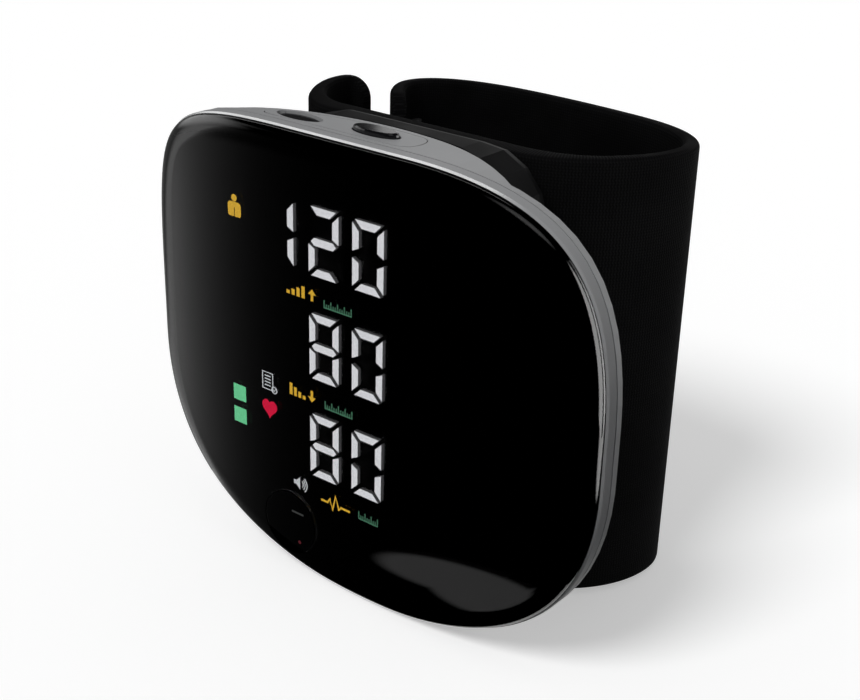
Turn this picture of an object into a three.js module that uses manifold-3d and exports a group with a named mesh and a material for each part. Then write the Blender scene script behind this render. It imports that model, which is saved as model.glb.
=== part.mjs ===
// Wrist blood pressure monitor: a flat case with a lit display, on a curled wrist cuff.
// Millimetres. X runs to the right as the display is read, Y runs away from the reader and
// Z runs up. While it is built, the case's face plane is at Y = 0, its middle at X = 0 and
// its lowest point at Z = 0. At the end the model is centred over its own bounding box.
import * as THREE from 'three';
import { mergeVertices } from 'three/addons/utils/BufferGeometryUtils.js';
import Module from 'manifold-3d';

const wasm = await Module();
wasm.setup();

// Case outline, seen from the front
const caseWidth = 80.6;
const caseHeight = 70;
const topLeftShare = 0.347;
const topRightShare = 0.174;
const leftShoulderShare = 0.6;
const rightShoulderShare = 0.571;
const waistShare = 0.471;
const topLeftHandleShares = [0.956, 0.93];
const topRightHandleShares = [0.76, 0.73];
const bottomHandleShares = [0.63, 0.63];
const outlineSteps = 80;

// Lens and start button
const lensRise = 1.7;
const lensEdge = 0.5;
const lensRound = 3.3;
const lensRoundSteps = 5;
const lensSkirt = 0.5;
const lensRim = 3.0;
const lensPocket = 1.0;
const buttonX = -12.7;
const buttonZ = 8.7;
const buttonRadius = 4.95;
const buttonClearance = 0.2;
const buttonTravel = 0.5;
const stemRadius = 1.5;
const buttonBackGap = 0.1;
const stemGap = 0.05;

// Bezel, mask and gasket
const bezelDepth = 2.05;
const bezelChamfer = 0.35;
const bezelFall = 0.75;
const rebateInset = 0.42;
const ledgeWidth = 3.1;
const maskInset = 1.0;
const maskThickness = 0.3;
const gasketInset = 1.2;
const gasketWidth = 2.2;
const gasketThickness = 0.3;

// Display
const digitWidth = 5.6;
const digitHeight = 10.2;
const digitStroke = 1.15;
const digitGap = 0.48;
const digitThickness = 0.6;
const onesX = -1.1;
const digitSpacing = 8.1;
const hundredsShift = 0.4;
const displayBottom = 17.9;
const displayTopMargin = 10;
const guideThickness = 0.3;
const guideMargin = 1.6;
const windowMargin = 0.35;

// Rear housing with its brow
const seamWidth = 0.25;
const seamInset = 0.5;
const lipDepth = 3.4;
const browDepth = 9.9;
const browX = -3;
const browRadius = 50;
const browWall = 1.0;
const sideWall = 1.4;

// Button plate and keys
const plateThickness = 0.8;
const plateFront = 3.3;
const plateMargin = 0.9;
const plateLeft = -22;
const plateRight = 5.1;
const plateGroove = 0.15;
const plateLeftTurn = 2.25;
const plateRightTurn = 2.88;
const keyLength = 8.0;
const keyWidth = 3.0;
const keyClearance = 0.2;
const keyTravel = 0.6;
const keyDome = 0.5;
const keyFlange = 0.5;
const keyFlangeThickness = 0.8;
const keyFlangeWidth = 2.0;
const keyStemOffset = 1.0;
const keyStemRadius = 0.6;
const keyStemLength = 1.2;
const memoryKeyX = -16.2;
const memoryKeyDepth = 5.2;
const memoryKeyRise = -0.3;
const userKeyX = -2.8;
const userKeyDepth = 6.0;
const userKeyRise = 0.7;
const keySwitchSize = 3.0;
const keySwitchHeight = 1.0;
const keyBoardThickness = 0.8;

// Back cover
const coverLeft = -23;
const coverRight = 21;
const coverBottom = 10;
const coverDepth = 14.8;
const coverWall = 1.4;
const coverTopRadius = 10;
const coverBottomRadius = 12;
const coverEdge = 2.2;
const coverEdgeShares = [[0, 1], [0.13, 0.5], [0.5, 0.13], [1, 0]];
const coverLedge = 1.0;
const coverSteps = 48;

// Boards
const boardThickness = 0.8;
const displayBoardLeft = -26;
const displayBoardRight = 10;
const displayBoardInset = 1.9;
const spacerLength = 1.75;
const spacerRadius = 1.0;
const spacerMargin = 3.0;
const mainBoardLeft = -20;
const mainBoardRight = 5.5;
const mainBoardTopMargin = 9;
const startSwitchSize = 5.0;
const startSwitchHeight = 0.85;
const connectorLength = 10;
const connectorWidth = 2.4;
const chipSize = 7;
const controllerShare = 0.22;
const memoryShare = 0.75;

// Screws
const screwHeadRadius = 1.4;
const screwHeadHeight = 0.7;
const screwShankRadius = 0.6;
const screwShankLength = 4.3;
const screwClearance = 0.15;
const screwRecess = 1.0;
const bossRadius = 1.8;
const gussetRadius = 3.6;
const boardScrewHeadRadius = 0.9;
const boardScrewHeadHeight = 0.6;
const boardScrewShankRadius = 0.4;
const boardScrewInset = 2.6;
const boardScrewDepth = 0.6;
const boardScrewTipGap = 0.15;
const boardScrewLeftShare = 0.72;
const boardScrewRightShare = 0.5;

// Cell and charging socket
const cellWidth = 19;
const cellLength = 22;
const cellThickness = 5.6;
const cellRadius = 1.5;
const cellLeft = -15.5;
const padThickness = 0.6;
const padMargin = 1.5;
const socketLength = 8.9;
const socketHeight = 3.2;
const socketReach = 6.3;
const socketShell = 0.35;
const socketMouthDepth = 5.0;
const socketTongue = 0.7;
const socketBottom = 22;
const socketFront = 9.0;
const socketInsetFromWall = 0.3;

// Air parts
const motorRadius = 3.9;
const motorLength = 13;
const pumpX = 12.5;
const sleeveWall = 0.9;
const sleeveLength = 9;
const headSize = 9.2;
const headLength = 5.5;
const outletRadius = 1.1;
const outletLength = 2.5;
const tubeRadius = 1.1;
const tubeRiseShare = 0.7;
const tubeBendShare = 0.3;
const manifoldLeft = -1.5;
const manifoldWidth = 5.5;
const manifoldDepth = 4.8;
const manifoldHeight = 6;
const manifoldClearance = 0.7;
const valveRadius = 2.6;
const valveHeight = 4.6;
const sensorWidth = 7;
const sensorHeight = 6;
const sensorThickness = 3.2;
const sensorRight = -6;
const sensorPortRadius = 0.9;
const nozzleRadius = 1.5;
const nozzleBore = 0.7;
const nozzleReach = 2.9;
const nozzleFlangeRadius = 2.6;
const nozzleFlangeThickness = 0.7;
const nozzleEndWall = 0.3;
const sealThickness = 0.3;
const holeClearance = 0.3;
const speakerRadius = 3.7;
const speakerThickness = 3.0;
const speakerDepth = 9.6;
const speakerTopMargin = 14;
const soundHoleRadius = 0.5;
const soundHoleSpacing = 2.0;

// Cuff
const cuffHeight = 67.7;
const cuffWidth = 62.7;
const cuffDepth = 30.1;
const cuffRise = 0.9;
const strapThickness = 2.4;
const padThicknessAtCase = 3.8;
const strapPlateThickness = 0.6;
const strapTipRadius = 3.75;
const strapPlateMargin = 4;
const strapPlateRightMargin = 8;
const foldGap = 0.3;
const stationGap = 0.05;
const pocketWall = 0.7;
const pocketMargin = 5;
const layerRadius = 2.5;
const stiffenerThickness = 0.6;
const bladderThickness = 1.5;
const layerGap = 0.1;
const patchThickness = 0.8;
const patchLength = 9;
const patchMargin = 6;
const patchGap = 0.15;
const nearStartShare = -0.319;
const nearEndShare = 0.191;
const cuffPathShares = {
  hookTip: [-0.445, 0.522],
  hookTipHandle: [-0.492, 0.525],
  hookSideHandle: [-0.504, 0.505],
  hookSide: [-0.504, 0.42],
  hookLowHandle: [-0.502, 0.251],
  hookStartHandle: [-0.42, 0],
  turnStartHandle: [0.335, 0],
  turnLowHandle: [0.457, 0.253],
  turn: [0.457, 0.557],
  turnHighHandle: [0.457, 0.777],
  farStartHandle: [0.343, 0.926],
  farStart: [0.223, 0.956],
  farHandle: [0.104, 0.986],
  farEndHandle: [-0.027, 1.002],
  farEnd: [-0.139, 0.99],
  curlHandle: [-0.255, 0.976],
  curlHighHandle: [-0.386, 0.902],
  curl: [-0.389, 0.709],
  curlLowHandle: [-0.389, 0.621],
  tailHandle: [-0.341, 0.498],
  tail: [-0.292, 0.415],
};

// Counts of facets and the overrun of every cutting tool
const holeSteps = 56;
const roundSteps = 28;
const ovalSteps = 16;
const tubeSteps = 14;
const smallSteps = 12;
const curveSteps = 8;
const slimSteps = 4;
const cornerSteps = 3;
const browSteps = 12;
const overrun = 1;
const contactGap = 0.3;
const slipGap = 0.1;
const mergeTolerance = 1e-5;

// Colours
const black = new THREE.MeshStandardMaterial({ color: 0x08080a, roughness: 0.5 });
const gloss = new THREE.MeshStandardMaterial({ color: 0x050506, roughness: 0.06 });
const silver = new THREE.MeshStandardMaterial({ color: 0xc8c9cc, roughness: 0.25, metalness: 1 });
const satin = new THREE.MeshStandardMaterial({ color: 0x8f9094, roughness: 0.45, metalness: 0.6 });
const steel = new THREE.MeshStandardMaterial({ color: 0xa9abad, roughness: 0.35, metalness: 1 });
const board = new THREE.MeshStandardMaterial({ color: 0x1d5a3a, roughness: 0.6 });
const grey = new THREE.MeshStandardMaterial({ color: 0x777a7c, roughness: 0.6 });
const white = new THREE.MeshStandardMaterial({ color: 0xe8eaea, roughness: 0.5 });
const rubber = new THREE.MeshStandardMaterial({ color: 0x151515, roughness: 0.85 });
const silicone = new THREE.MeshStandardMaterial({ color: 0xd8d6cf, roughness: 0.5 });
const fabric = new THREE.MeshStandardMaterial({ color: 0x101013, roughness: 0.95 });
const foil = new THREE.MeshStandardMaterial({ color: 0x9fa6ad, roughness: 0.4, metalness: 0.8 });

const model = new THREE.Group();

function addPart(name, geometry, material) {
  const mesh = new THREE.Mesh(geometry, material);
  mesh.name = name;
  model.add(mesh);
}

// Solids: joining and cutting closed meshes
function solid(geometry) {
  const bare = geometry.clone();
  bare.deleteAttribute('normal');
  bare.deleteAttribute('uv');
  const merged = mergeVertices(bare, mergeTolerance);
  return new wasm.Manifold(new wasm.Mesh({
    numProp: 3,
    vertProperties: new Float32Array(merged.attributes.position.array),
    triVerts: new Uint32Array(merged.index.array),
  }));
}

function geometryOf(body) {
  const mesh = body.getMesh();
  const geometry = new THREE.BufferGeometry();
  const places = new Float32Array(mesh.vertProperties);
  geometry.setAttribute('position', new THREE.BufferAttribute(places, 3));
  geometry.setIndex(new THREE.BufferAttribute(new Uint32Array(mesh.triVerts), 1));
  return geometry;
}

function cut(base, ...tools) {
  return geometryOf(tools.reduce((body, tool) => body.subtract(solid(tool)), solid(base)));
}

function join(base, ...others) {
  return geometryOf(others.reduce((body, other) => body.add(solid(other)), solid(base)));
}

function common(base, ...others) {
  return geometryOf(others.reduce((body, other) => body.intersect(solid(other)), solid(base)));
}

// A closed mesh from rings of points. Its faces are turned out by the sign of its volume.
function closedMesh(points, triangles) {
  const volume = triangles.reduce((sum, [a, b, c]) => {
    const side = new THREE.Vector3().crossVectors(points[a], points[b]);
    return sum + side.dot(points[c]);
  }, 0);
  const order = volume > 0 ? triangles : triangles.map(([a, b, c]) => [a, c, b]);
  const geometry = new THREE.BufferGeometry();
  geometry.setAttribute('position', new THREE.Float32BufferAttribute(points.flatMap((p) => p.toArray()), 3));
  geometry.setIndex(order.flat());
  return geometry;
}

// A contour is a closed line of points in the X-Z plane, with the outward normal at each.
function contourOf(path, steps) {
  const points = [];
  const normals = [];
  for (let i = 0; i < steps; i += 1) {
    const tangent = path.getTangent(i / steps);
    points.push(path.getPoint(i / steps));
    normals.push(new THREE.Vector2(tangent.y, -tangent.x));
  }
  return { points, normals };
}

function insetPoints(contour, inset) {
  return contour.points.map((p, i) => p.clone().addScaledVector(contour.normals[i], -inset));
}

// A body whose section follows a contour. Each profile entry is [inset, depth]. An open
// profile is closed by a flat face at each end, and a ring's profile closes on itself.
function wrap(contour, profile, ring = false) {
  const count = contour.points.length;
  const points = profile.flatMap(([inset, depth]) => insetPoints(contour, inset)
    .map((p) => new THREE.Vector3(p.x, depth, p.y)));
  const triangles = [];
  const bands = ring ? profile.length : profile.length - 1;
  for (let band = 0; band < bands; band += 1) {
    const here = band * count;
    const there = ((band + 1) % profile.length) * count;
    for (let i = 0; i < count; i += 1) {
      const next = (i + 1) % count;
      triangles.push([here + i, here + next, there + next], [here + i, there + next, there + i]);
    }
  }
  if (!ring) {
    const last = (profile.length - 1) * count;
    const cap = THREE.ShapeUtils.triangulateShape(insetPoints(contour, profile[0][0]), []);
    const back = THREE.ShapeUtils.triangulateShape(insetPoints(contour, profile.at(-1)[0]), []);
    cap.forEach(([a, b, c]) => triangles.push([a, c, b]));
    back.forEach(([a, b, c]) => triangles.push([last + a, last + b, last + c]));
  }
  return closedMesh(points, triangles);
}

// Simple bodies, placed by their own limits
function plate(shape, front, back) {
  const settings = { depth: back - front, bevelEnabled: false, curveSegments: cornerSteps };
  const geometry = new THREE.ExtrudeGeometry(shape, settings);
  geometry.rotateX(Math.PI / 2);
  geometry.translate(0, back, 0);
  return geometry;
}

function column(shape, bottom, top, steps = curveSteps) {
  const settings = { depth: top - bottom, bevelEnabled: false, curveSegments: steps };
  const geometry = new THREE.ExtrudeGeometry(shape, settings);
  geometry.translate(0, 0, bottom);
  return geometry;
}

function block([left, right], [front, back], [bottom, top]) {
  const geometry = new THREE.BoxGeometry(right - left, back - front, top - bottom);
  geometry.translate((left + right) / 2, (front + back) / 2, (bottom + top) / 2);
  return geometry;
}

// Cylinders: a rod runs from front to back, a post upwards and a beam to the right.
function rod(radius, x, [front, back], z, steps = smallSteps) {
  const geometry = new THREE.CylinderGeometry(radius, radius, back - front, steps);
  geometry.translate(x, (front + back) / 2, z);
  return geometry;
}

function post(radius, x, depth, [bottom, top], steps = smallSteps) {
  const geometry = new THREE.CylinderGeometry(radius, radius, top - bottom, steps);
  geometry.rotateX(Math.PI / 2);
  geometry.translate(x, depth, (bottom + top) / 2);
  return geometry;
}

function beam(radius, [left, right], depth, z, steps = smallSteps) {
  const geometry = new THREE.CylinderGeometry(radius, radius, right - left, steps);
  geometry.rotateZ(Math.PI / 2);
  geometry.translate((left + right) / 2, depth, z);
  return geometry;
}

function roundedRectangle(left, right, bottom, top, radius) {
  const shape = new THREE.Shape();
  shape.moveTo(left + radius, bottom);
  shape.lineTo(right - radius, bottom);
  shape.absarc(right - radius, bottom + radius, radius, -Math.PI / 2, 0, false);
  shape.lineTo(right, top - radius);
  shape.absarc(right - radius, top - radius, radius, 0, Math.PI / 2, false);
  shape.lineTo(left + radius, top);
  shape.absarc(left + radius, top - radius, radius, Math.PI / 2, Math.PI, false);
  shape.lineTo(left, bottom + radius);
  shape.absarc(left + radius, bottom + radius, radius, Math.PI, Math.PI * 1.5, false);
  return shape;
}

// The case's outline: a low half like an ellipse, a tight left shoulder and a wide right one
function caseOutline() {
  const half = caseWidth / 2;
  const waist = caseHeight * waistShare;
  const topRight = new THREE.Vector2(half * topRightShare, caseHeight);
  const rightShoulder = new THREE.Vector2(half, caseHeight * rightShoulderShare);
  const topLeft = new THREE.Vector2(-half * topLeftShare, caseHeight);
  const leftShoulder = new THREE.Vector2(-half, caseHeight * leftShoulderShare);
  const path = new THREE.Path();
  path.moveTo(0, 0);
  path.bezierCurveTo(
    half * bottomHandleShares[0], 0,
    half, waist * (1 - bottomHandleShares[1]),
    half, waist,
  );
  path.lineTo(rightShoulder.x, rightShoulder.y);
  path.bezierCurveTo(
    half, rightShoulder.y + (caseHeight - rightShoulder.y) * topRightHandleShares[1],
    topRight.x + (half - topRight.x) * topRightHandleShares[0], caseHeight,
    topRight.x, caseHeight,
  );
  path.lineTo(topLeft.x, topLeft.y);
  path.bezierCurveTo(
    topLeft.x + (-half - topLeft.x) * topLeftHandleShares[0], caseHeight,
    -half, leftShoulder.y + (caseHeight - leftShoulder.y) * topLeftHandleShares[1],
    leftShoulder.x, leftShoulder.y,
  );
  path.lineTo(-half, waist);
  path.bezierCurveTo(
    -half, waist * (1 - bottomHandleShares[1]),
    -half * bottomHandleShares[0], 0,
    0, 0,
  );
  return contourOf(path, outlineSteps);
}

const caseContour = caseOutline();

// The point of the case's outline nearest to x, on its low or high side, moved in by an inset
function seatOnOutline(x, high, inset) {
  const places = insetPoints(caseContour, inset);
  const side = places.filter((p) => (p.y > caseHeight / 2) === high);
  return side.reduce((best, p) => (Math.abs(p.x - x) < Math.abs(best.x - x) ? p : best));
}

// The digits that are lit, row by row from the top
const rows = ['120', '80', '80'];
const topRowZ = caseHeight - displayTopMargin - digitHeight;
const rowPitch = (topRowZ - displayBottom) / (rows.length - 1);
const rowZ = (row) => topRowZ - row * rowPitch;
const digitPlaces = rows.flatMap((text, row) => [...text].map((digit, place) => ({
  digit: Number(digit),
  x: onesX - (text.length - 1 - place) * digitSpacing - (place < text.length - 2 ? hundredsShift : 0),
  z: rowZ(row),
})));

// Depths of the stack behind the lens, counted from the face plane
const maskFront = lensSkirt;
const maskBack = maskFront + maskThickness;
const ledgeFront = maskBack + gasketThickness;
const displayBoardFront = bezelDepth;
const displayBoardBack = displayBoardFront + boardThickness;
const mainBoardFront = displayBoardBack + spacerLength;
const mainBoardBack = mainBoardFront + boardThickness;
const startSwitchFront = displayBoardFront - startSwitchHeight;
const coverInner = coverDepth - coverWall;

function buildLens() {
  const profile = [];
  for (let i = 0; i <= lensRoundSteps; i += 1) {
    const angle = (Math.PI / 2) * (i / lensRoundSteps);
    profile.push([lensEdge + lensRound * (1 - Math.sin(angle)), -lensRise * Math.cos(angle)]);
  }
  profile.push([lensEdge, lensSkirt]);
  const body = wrap(caseContour, profile);
  const rim = lensEdge + lensRim;
  const pocket = wrap(caseContour, [[rim, lensSkirt - lensPocket], [rim, lensSkirt + overrun]]);
  const through = [-lensRise - overrun, lensSkirt + overrun];
  const hole = rod(buttonRadius + buttonClearance, buttonX, through, buttonZ, holeSteps);
  addPart('front_lens', cut(body, pocket, hole), gloss);

  const capBack = maskFront - buttonTravel - buttonBackGap;
  const core = rod(buttonRadius, buttonX, [-lensRise - overrun, capBack], buttonZ, holeSteps);
  const stemEnd = startSwitchFront - buttonTravel - stemGap;
  const stem = rod(stemRadius, buttonX, [capBack - contactGap, stemEnd], buttonZ);
  addPart('start_button', join(common(body, core), stem), gloss);
}

function buildMaskAndGasket() {
  const mask = wrap(caseContour, [[maskInset, maskFront], [maskInset, maskBack]]);
  const across = [maskFront - overrun, maskBack + overrun];
  const stemHole = rod(stemRadius + holeClearance, buttonX, across, buttonZ);
  const windows = digitPlaces.map(({ x, z }) => block(
    [x - windowMargin, x + digitWidth + windowMargin],
    across,
    [z - windowMargin, z + digitHeight + windowMargin],
  ));
  addPart('display_mask', cut(mask, stemHole, ...windows), black);
  addPart('lens_gasket', wrap(caseContour, [
    [gasketInset, maskBack],
    [gasketInset + gasketWidth, maskBack],
    [gasketInset + gasketWidth, ledgeFront],
    [gasketInset, ledgeFront],
  ], true), rubber);
}

const boardScrewSeats = [
  seatOnOutline(displayBoardLeft * boardScrewLeftShare, false, boardScrewInset),
  seatOnOutline(displayBoardRight * boardScrewRightShare, false, boardScrewInset),
  seatOnOutline(displayBoardLeft * boardScrewLeftShare, true, boardScrewInset),
  seatOnOutline(displayBoardRight * boardScrewRightShare, true, boardScrewInset),
];

function buildBezel() {
  const ledgeInset = rebateInset + ledgeWidth;
  const frame = wrap(caseContour, [
    [rebateInset, 0],
    [bezelChamfer, 0],
    [0, bezelFall],
    [0, bezelDepth],
    [ledgeInset, bezelDepth],
    [ledgeInset, ledgeFront],
    [rebateInset, ledgeFront],
  ], true);
  const holes = boardScrewSeats.map((seat) => rod(
    boardScrewShankRadius + screwClearance,
    seat.x,
    [bezelDepth - boardScrewDepth - boardScrewTipGap, bezelDepth + overrun],
    seat.y,
  ));
  addPart('front_bezel', cut(frame, ...holes), silver);
}

// A seven-segment digit: which segments are lit, and the outline of each segment
const litSegments = {
  0: ['top', 'bottom', 'highLeft', 'highRight', 'lowLeft', 'lowRight'],
  1: ['highRight', 'lowRight'],
  2: ['top', 'highRight', 'middle', 'lowLeft', 'bottom'],
  8: ['top', 'bottom', 'middle', 'highLeft', 'highRight', 'lowLeft', 'lowRight'],
};

function segmentOutline(name) {
  const w = digitWidth;
  const h = digitHeight;
  const s = digitStroke;
  const g = digitGap;
  const middle = h / 2;
  const flipX = ([x, z]) => [w - x, z];
  const flipZ = ([x, z]) => [x, h - z];
  const top = [[g, h], [w - g, h], [w - s - g, h - s], [s + g, h - s]];
  const highLeft = [[0, h - g], [s, h - s - g], [s, middle + s / 2 + g], [0, middle + g]];
  const across = [
    [g, middle], [s / 2 + g, middle + s / 2], [w - s / 2 - g, middle + s / 2],
    [w - g, middle], [w - s / 2 - g, middle - s / 2], [s / 2 + g, middle - s / 2],
  ];
  const outlines = {
    top,
    bottom: top.map(flipZ),
    middle: across,
    highLeft,
    highRight: highLeft.map(flipX),
    lowLeft: highLeft.map(flipZ),
    lowRight: highLeft.map(flipX).map(flipZ),
  };
  return outlines[name];
}

function segmentShape(name, x, z) {
  return new THREE.Shape(segmentOutline(name).map(([px, pz]) => new THREE.Vector2(x + px, z + pz)));
}

// The light guide is one diffusing plate. Its lit segments stand up through the mask.
function buildLightGuide() {
  const left = digitPlaces[0].x - guideMargin;
  const right = onesX + digitWidth + guideMargin;
  const bottom = rowZ(rows.length - 1) - guideMargin;
  const top = topRowZ + digitHeight + guideMargin;
  const guideBack = maskBack + guideThickness;
  const shape = roundedRectangle(left, right, bottom, top, guideMargin);
  const segments = digitPlaces.flatMap(({ digit, x, z }) => litSegments[digit].map((name) => (
    plate(segmentShape(name, x, z), maskFront - digitThickness, guideBack - guideThickness / 2)
  )));
  addPart('light_guide', join(plate(shape, maskBack, guideBack), ...segments), white);
  addPart('led_module', plate(shape, guideBack, displayBoardFront), grey);
}

function buildBoards() {
  const half = startSwitchSize / 2;
  addPart('start_switch', block(
    [buttonX - half, buttonX + half],
    [startSwitchFront, displayBoardFront],
    [buttonZ - half, buttonZ + half],
  ), steel);

  const whole = wrap(caseContour, [
    [displayBoardInset, displayBoardFront],
    [displayBoardInset, displayBoardBack],
  ]);
  const window = block(
    [displayBoardLeft, displayBoardRight],
    [displayBoardFront - overrun, displayBoardBack + overrun],
    [-overrun, caseHeight + overrun],
  );
  const screwHoles = boardScrewSeats.map((seat) => rod(
    boardScrewShankRadius + screwClearance,
    seat.x,
    [displayBoardFront - overrun, displayBoardBack + overrun],
    seat.y,
  ));
  addPart('display_board', cut(common(whole, window), ...screwHoles), board);

  const headEnd = displayBoardBack + boardScrewHeadHeight;
  const shank = [bezelDepth - boardScrewDepth, headEnd - boardScrewHeadHeight / 2];
  boardScrewSeats.forEach((seat, i) => addPart(`board_screw_${i + 1}`, join(
    rod(boardScrewHeadRadius, seat.x, [displayBoardBack, headEnd], seat.y),
    rod(boardScrewShankRadius, seat.x, shank, seat.y),
  ), steel));

  const mainShape = roundedRectangle(mainBoardLeft, mainBoardRight, innerBase, mainBoardTop, padMargin);
  addPart('main_board', plate(mainShape, mainBoardFront, mainBoardBack), board);

  const spacerPlaces = [mainBoardLeft + spacerMargin, mainBoardRight - spacerMargin].flatMap((x) => (
    [innerBase + spacerMargin, mainBoardTop - spacerMargin].map((z) => [x, z])
  ));
  spacerPlaces.forEach(([x, z], i) => {
    addPart(`board_spacer_${i + 1}`, rod(spacerRadius, x, [displayBoardBack, mainBoardFront], z), steel);
  });

  const boardX = (mainBoardLeft + mainBoardRight) / 2;
  const boardZ = (innerBase + mainBoardTop) / 2;
  addPart('board_connector', block(
    [boardX - connectorLength / 2, boardX + connectorLength / 2],
    [displayBoardBack, mainBoardFront],
    [boardZ - connectorWidth / 2, boardZ + connectorWidth / 2],
  ), black);
}

// The region in front of the housing's curved back, seen from above. A growth moves the
// curved back out by that much, and a negative one moves it in.
const browCentreDepth = browDepth - browRadius;

function browDepthAt(x) {
  const drop = browRadius - Math.sqrt(browRadius ** 2 - (x - browX) ** 2);
  return browDepth - drop;
}

function browColumn(growth, front, bottom, top) {
  const radius = browRadius + growth;
  const lip = lipDepth + growth;
  const reach = Math.sqrt(radius ** 2 - (lip - browCentreDepth) ** 2);
  const angle = Math.asin((lip - browCentreDepth) / radius);
  const side = caseWidth / 2 + overrun;
  const shape = new THREE.Shape();
  shape.moveTo(-side, front);
  shape.lineTo(side, front);
  shape.lineTo(side, lip);
  shape.lineTo(browX + reach, lip);
  shape.absarc(browX, browCentreDepth, radius, angle, Math.PI - angle, false);
  shape.lineTo(-side, lip);
  return column(shape, bottom, top, browSteps);
}

function coverOutline() {
  const shape = new THREE.Shape();
  const high = coverTopRadius;
  const low = coverBottomRadius;
  shape.moveTo(0, coverBottom);
  shape.lineTo(coverRight - low, coverBottom);
  shape.absarc(coverRight - low, coverBottom + low, low, -Math.PI / 2, 0, false);
  shape.lineTo(coverRight, caseHeight - high);
  shape.absarc(coverRight - high, caseHeight - high, high, 0, Math.PI / 2, false);
  shape.lineTo(coverLeft + high, caseHeight);
  shape.absarc(coverLeft + high, caseHeight - high, high, Math.PI / 2, Math.PI, false);
  shape.lineTo(coverLeft, coverBottom + low);
  shape.absarc(coverLeft + low, coverBottom + low, low, Math.PI, Math.PI * 1.5, false);
  shape.lineTo(0, coverBottom);
  return contourOf(shape, coverSteps);
}

const coverContour = coverOutline();

// Screw places: halfway round each corner of the cover, close to its wall
function coverScrewSeats() {
  const reach = (radius) => (radius - coverWall - bossRadius - contactGap) * Math.SQRT1_2;
  const high = reach(coverTopRadius);
  const low = reach(coverBottomRadius);
  return [
    [coverLeft + coverTopRadius - high, caseHeight - coverTopRadius + high],
    [coverRight - coverTopRadius + high, caseHeight - coverTopRadius + high],
    [coverLeft + coverBottomRadius - low, coverBottom + coverBottomRadius - low],
    [coverRight - coverBottomRadius + low, coverBottom + coverBottomRadius - low],
  ];
}

const screwSeats = coverScrewSeats();

// The inner parts stand above the gussets of the two low screws
const innerBase = Math.max(...screwSeats.slice(2).map(([, z]) => z)) + gussetRadius + contactGap;
const cellTop = innerBase + cellLength;
const manifoldBottom = cellTop + manifoldClearance;
const mainBoardTop = caseHeight - mainBoardTopMargin;
const speakerZ = caseHeight - speakerTopMargin;

// The button plate is a leaf: its front edge is straight, its back edge follows the brow.
function leafColumn(growth, bottom, top) {
  const radius = browRadius - plateMargin + growth;
  const front = plateFront - growth;
  const left = plateLeft - growth;
  const right = plateRight + growth;
  const leftTurn = plateLeft + plateLeftTurn;
  const rightTurn = plateRight - plateRightTurn;
  const backAt = (x) => browCentreDepth + Math.sqrt(radius ** 2 - (x - browX) ** 2);
  const angleAt = (x) => Math.acos((x - browX) / radius);
  const shape = new THREE.Shape();
  const middleRight = (front + backAt(rightTurn)) / 2;
  const middleLeft = (front + backAt(leftTurn)) / 2;
  shape.moveTo(leftTurn, front);
  shape.lineTo(rightTurn, front);
  shape.quadraticCurveTo(right, front, right, middleRight);
  shape.quadraticCurveTo(right, backAt(rightTurn), rightTurn, backAt(rightTurn));
  shape.absarc(browX, browCentreDepth, radius, angleAt(rightTurn), angleAt(leftTurn), false);
  shape.quadraticCurveTo(left, middleLeft + plateMargin, left, middleLeft);
  shape.quadraticCurveTo(left, front, leftTurn, front);
  return column(shape, bottom, top, curveSteps);
}

function ellipseColumn(length, width, x, depth, bottom, top) {
  const shape = new THREE.Shape();
  shape.absellipse(x, depth, length / 2, width / 2, 0, Math.PI * 2, false, 0);
  return column(shape, bottom, top, ovalSteps);
}

const keys = [
  {
    name: 'memory_key',
    switchName: 'memory_switch',
    x: memoryKeyX,
    depth: memoryKeyDepth,
    rise: memoryKeyRise,
    stem: keyStemOffset,
  },
  {
    name: 'user_key',
    switchName: 'user_switch',
    x: userKeyX,
    depth: userKeyDepth,
    rise: userKeyRise,
    stem: -keyStemOffset,
  },
];

const wallInner = caseHeight - sideWall;
const flangeTop = wallInner - contactGap;
const flangeBottom = flangeTop - keyFlangeThickness;
const stemBottom = flangeBottom - keyStemLength;
const keySwitchTop = stemBottom - keyTravel - slipGap;
const keyBoardTop = keySwitchTop - keySwitchHeight;
const keyBoardBottom = keyBoardTop - keyBoardThickness;
const plateBottom = caseHeight - plateThickness;

function keyHole(key, bottom, top) {
  const grow = keyClearance * 2;
  return ellipseColumn(keyLength + grow, keyWidth + grow, key.x, key.depth, bottom, top);
}

function buildHousing() {
  const back = browDepth + overrun;
  const skin = wrap(caseContour, [[0, bezelDepth + seamWidth], [0, back]]);
  const collar = wrap(caseContour, [[seamInset, bezelDepth], [seamInset, bezelDepth + seamWidth + overrun]]);
  const shell = common(join(skin, collar), browColumn(0, -overrun, -overrun, caseHeight + overrun));
  const room = common(
    wrap(caseContour, [[sideWall, bezelDepth - overrun], [sideWall, back]]),
    browColumn(-browWall, -overrun, -overrun, caseHeight + overrun),
  );
  const openingInset = coverWall + coverLedge;
  const opening = wrap(coverContour, [[openingInset, bezelDepth], [openingInset, back]]);
  const gussets = screwSeats.map(([x, z]) => rod(gussetRadius, x, [-overrun, back + overrun], z, roundSteps));
  const holeBottom = wallInner - keyTravel - overrun;
  const keyHoles = keys.map((key) => keyHole(key, holeBottom, caseHeight + overrun));
  const recess = leafColumn(plateGroove, plateBottom, caseHeight + overrun);
  const open = cut(shell, room, cut(opening, ...gussets), recess, ...keyHoles);
  const bossEnd = coverInner - contactGap;
  const bosses = screwSeats.map(([x, z]) => (
    rod(bossRadius, x, [browDepthAt(x) - browWall / 2, bossEnd], z, roundSteps)
  ));
  const bores = screwSeats.map(([x, z]) => rod(
    screwShankRadius + screwClearance,
    x,
    [bossEnd - screwShankLength, bossEnd + overrun],
    z,
  ));
  addPart('rear_housing', cut(join(open, ...bosses), ...bores), satin);
}

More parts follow.
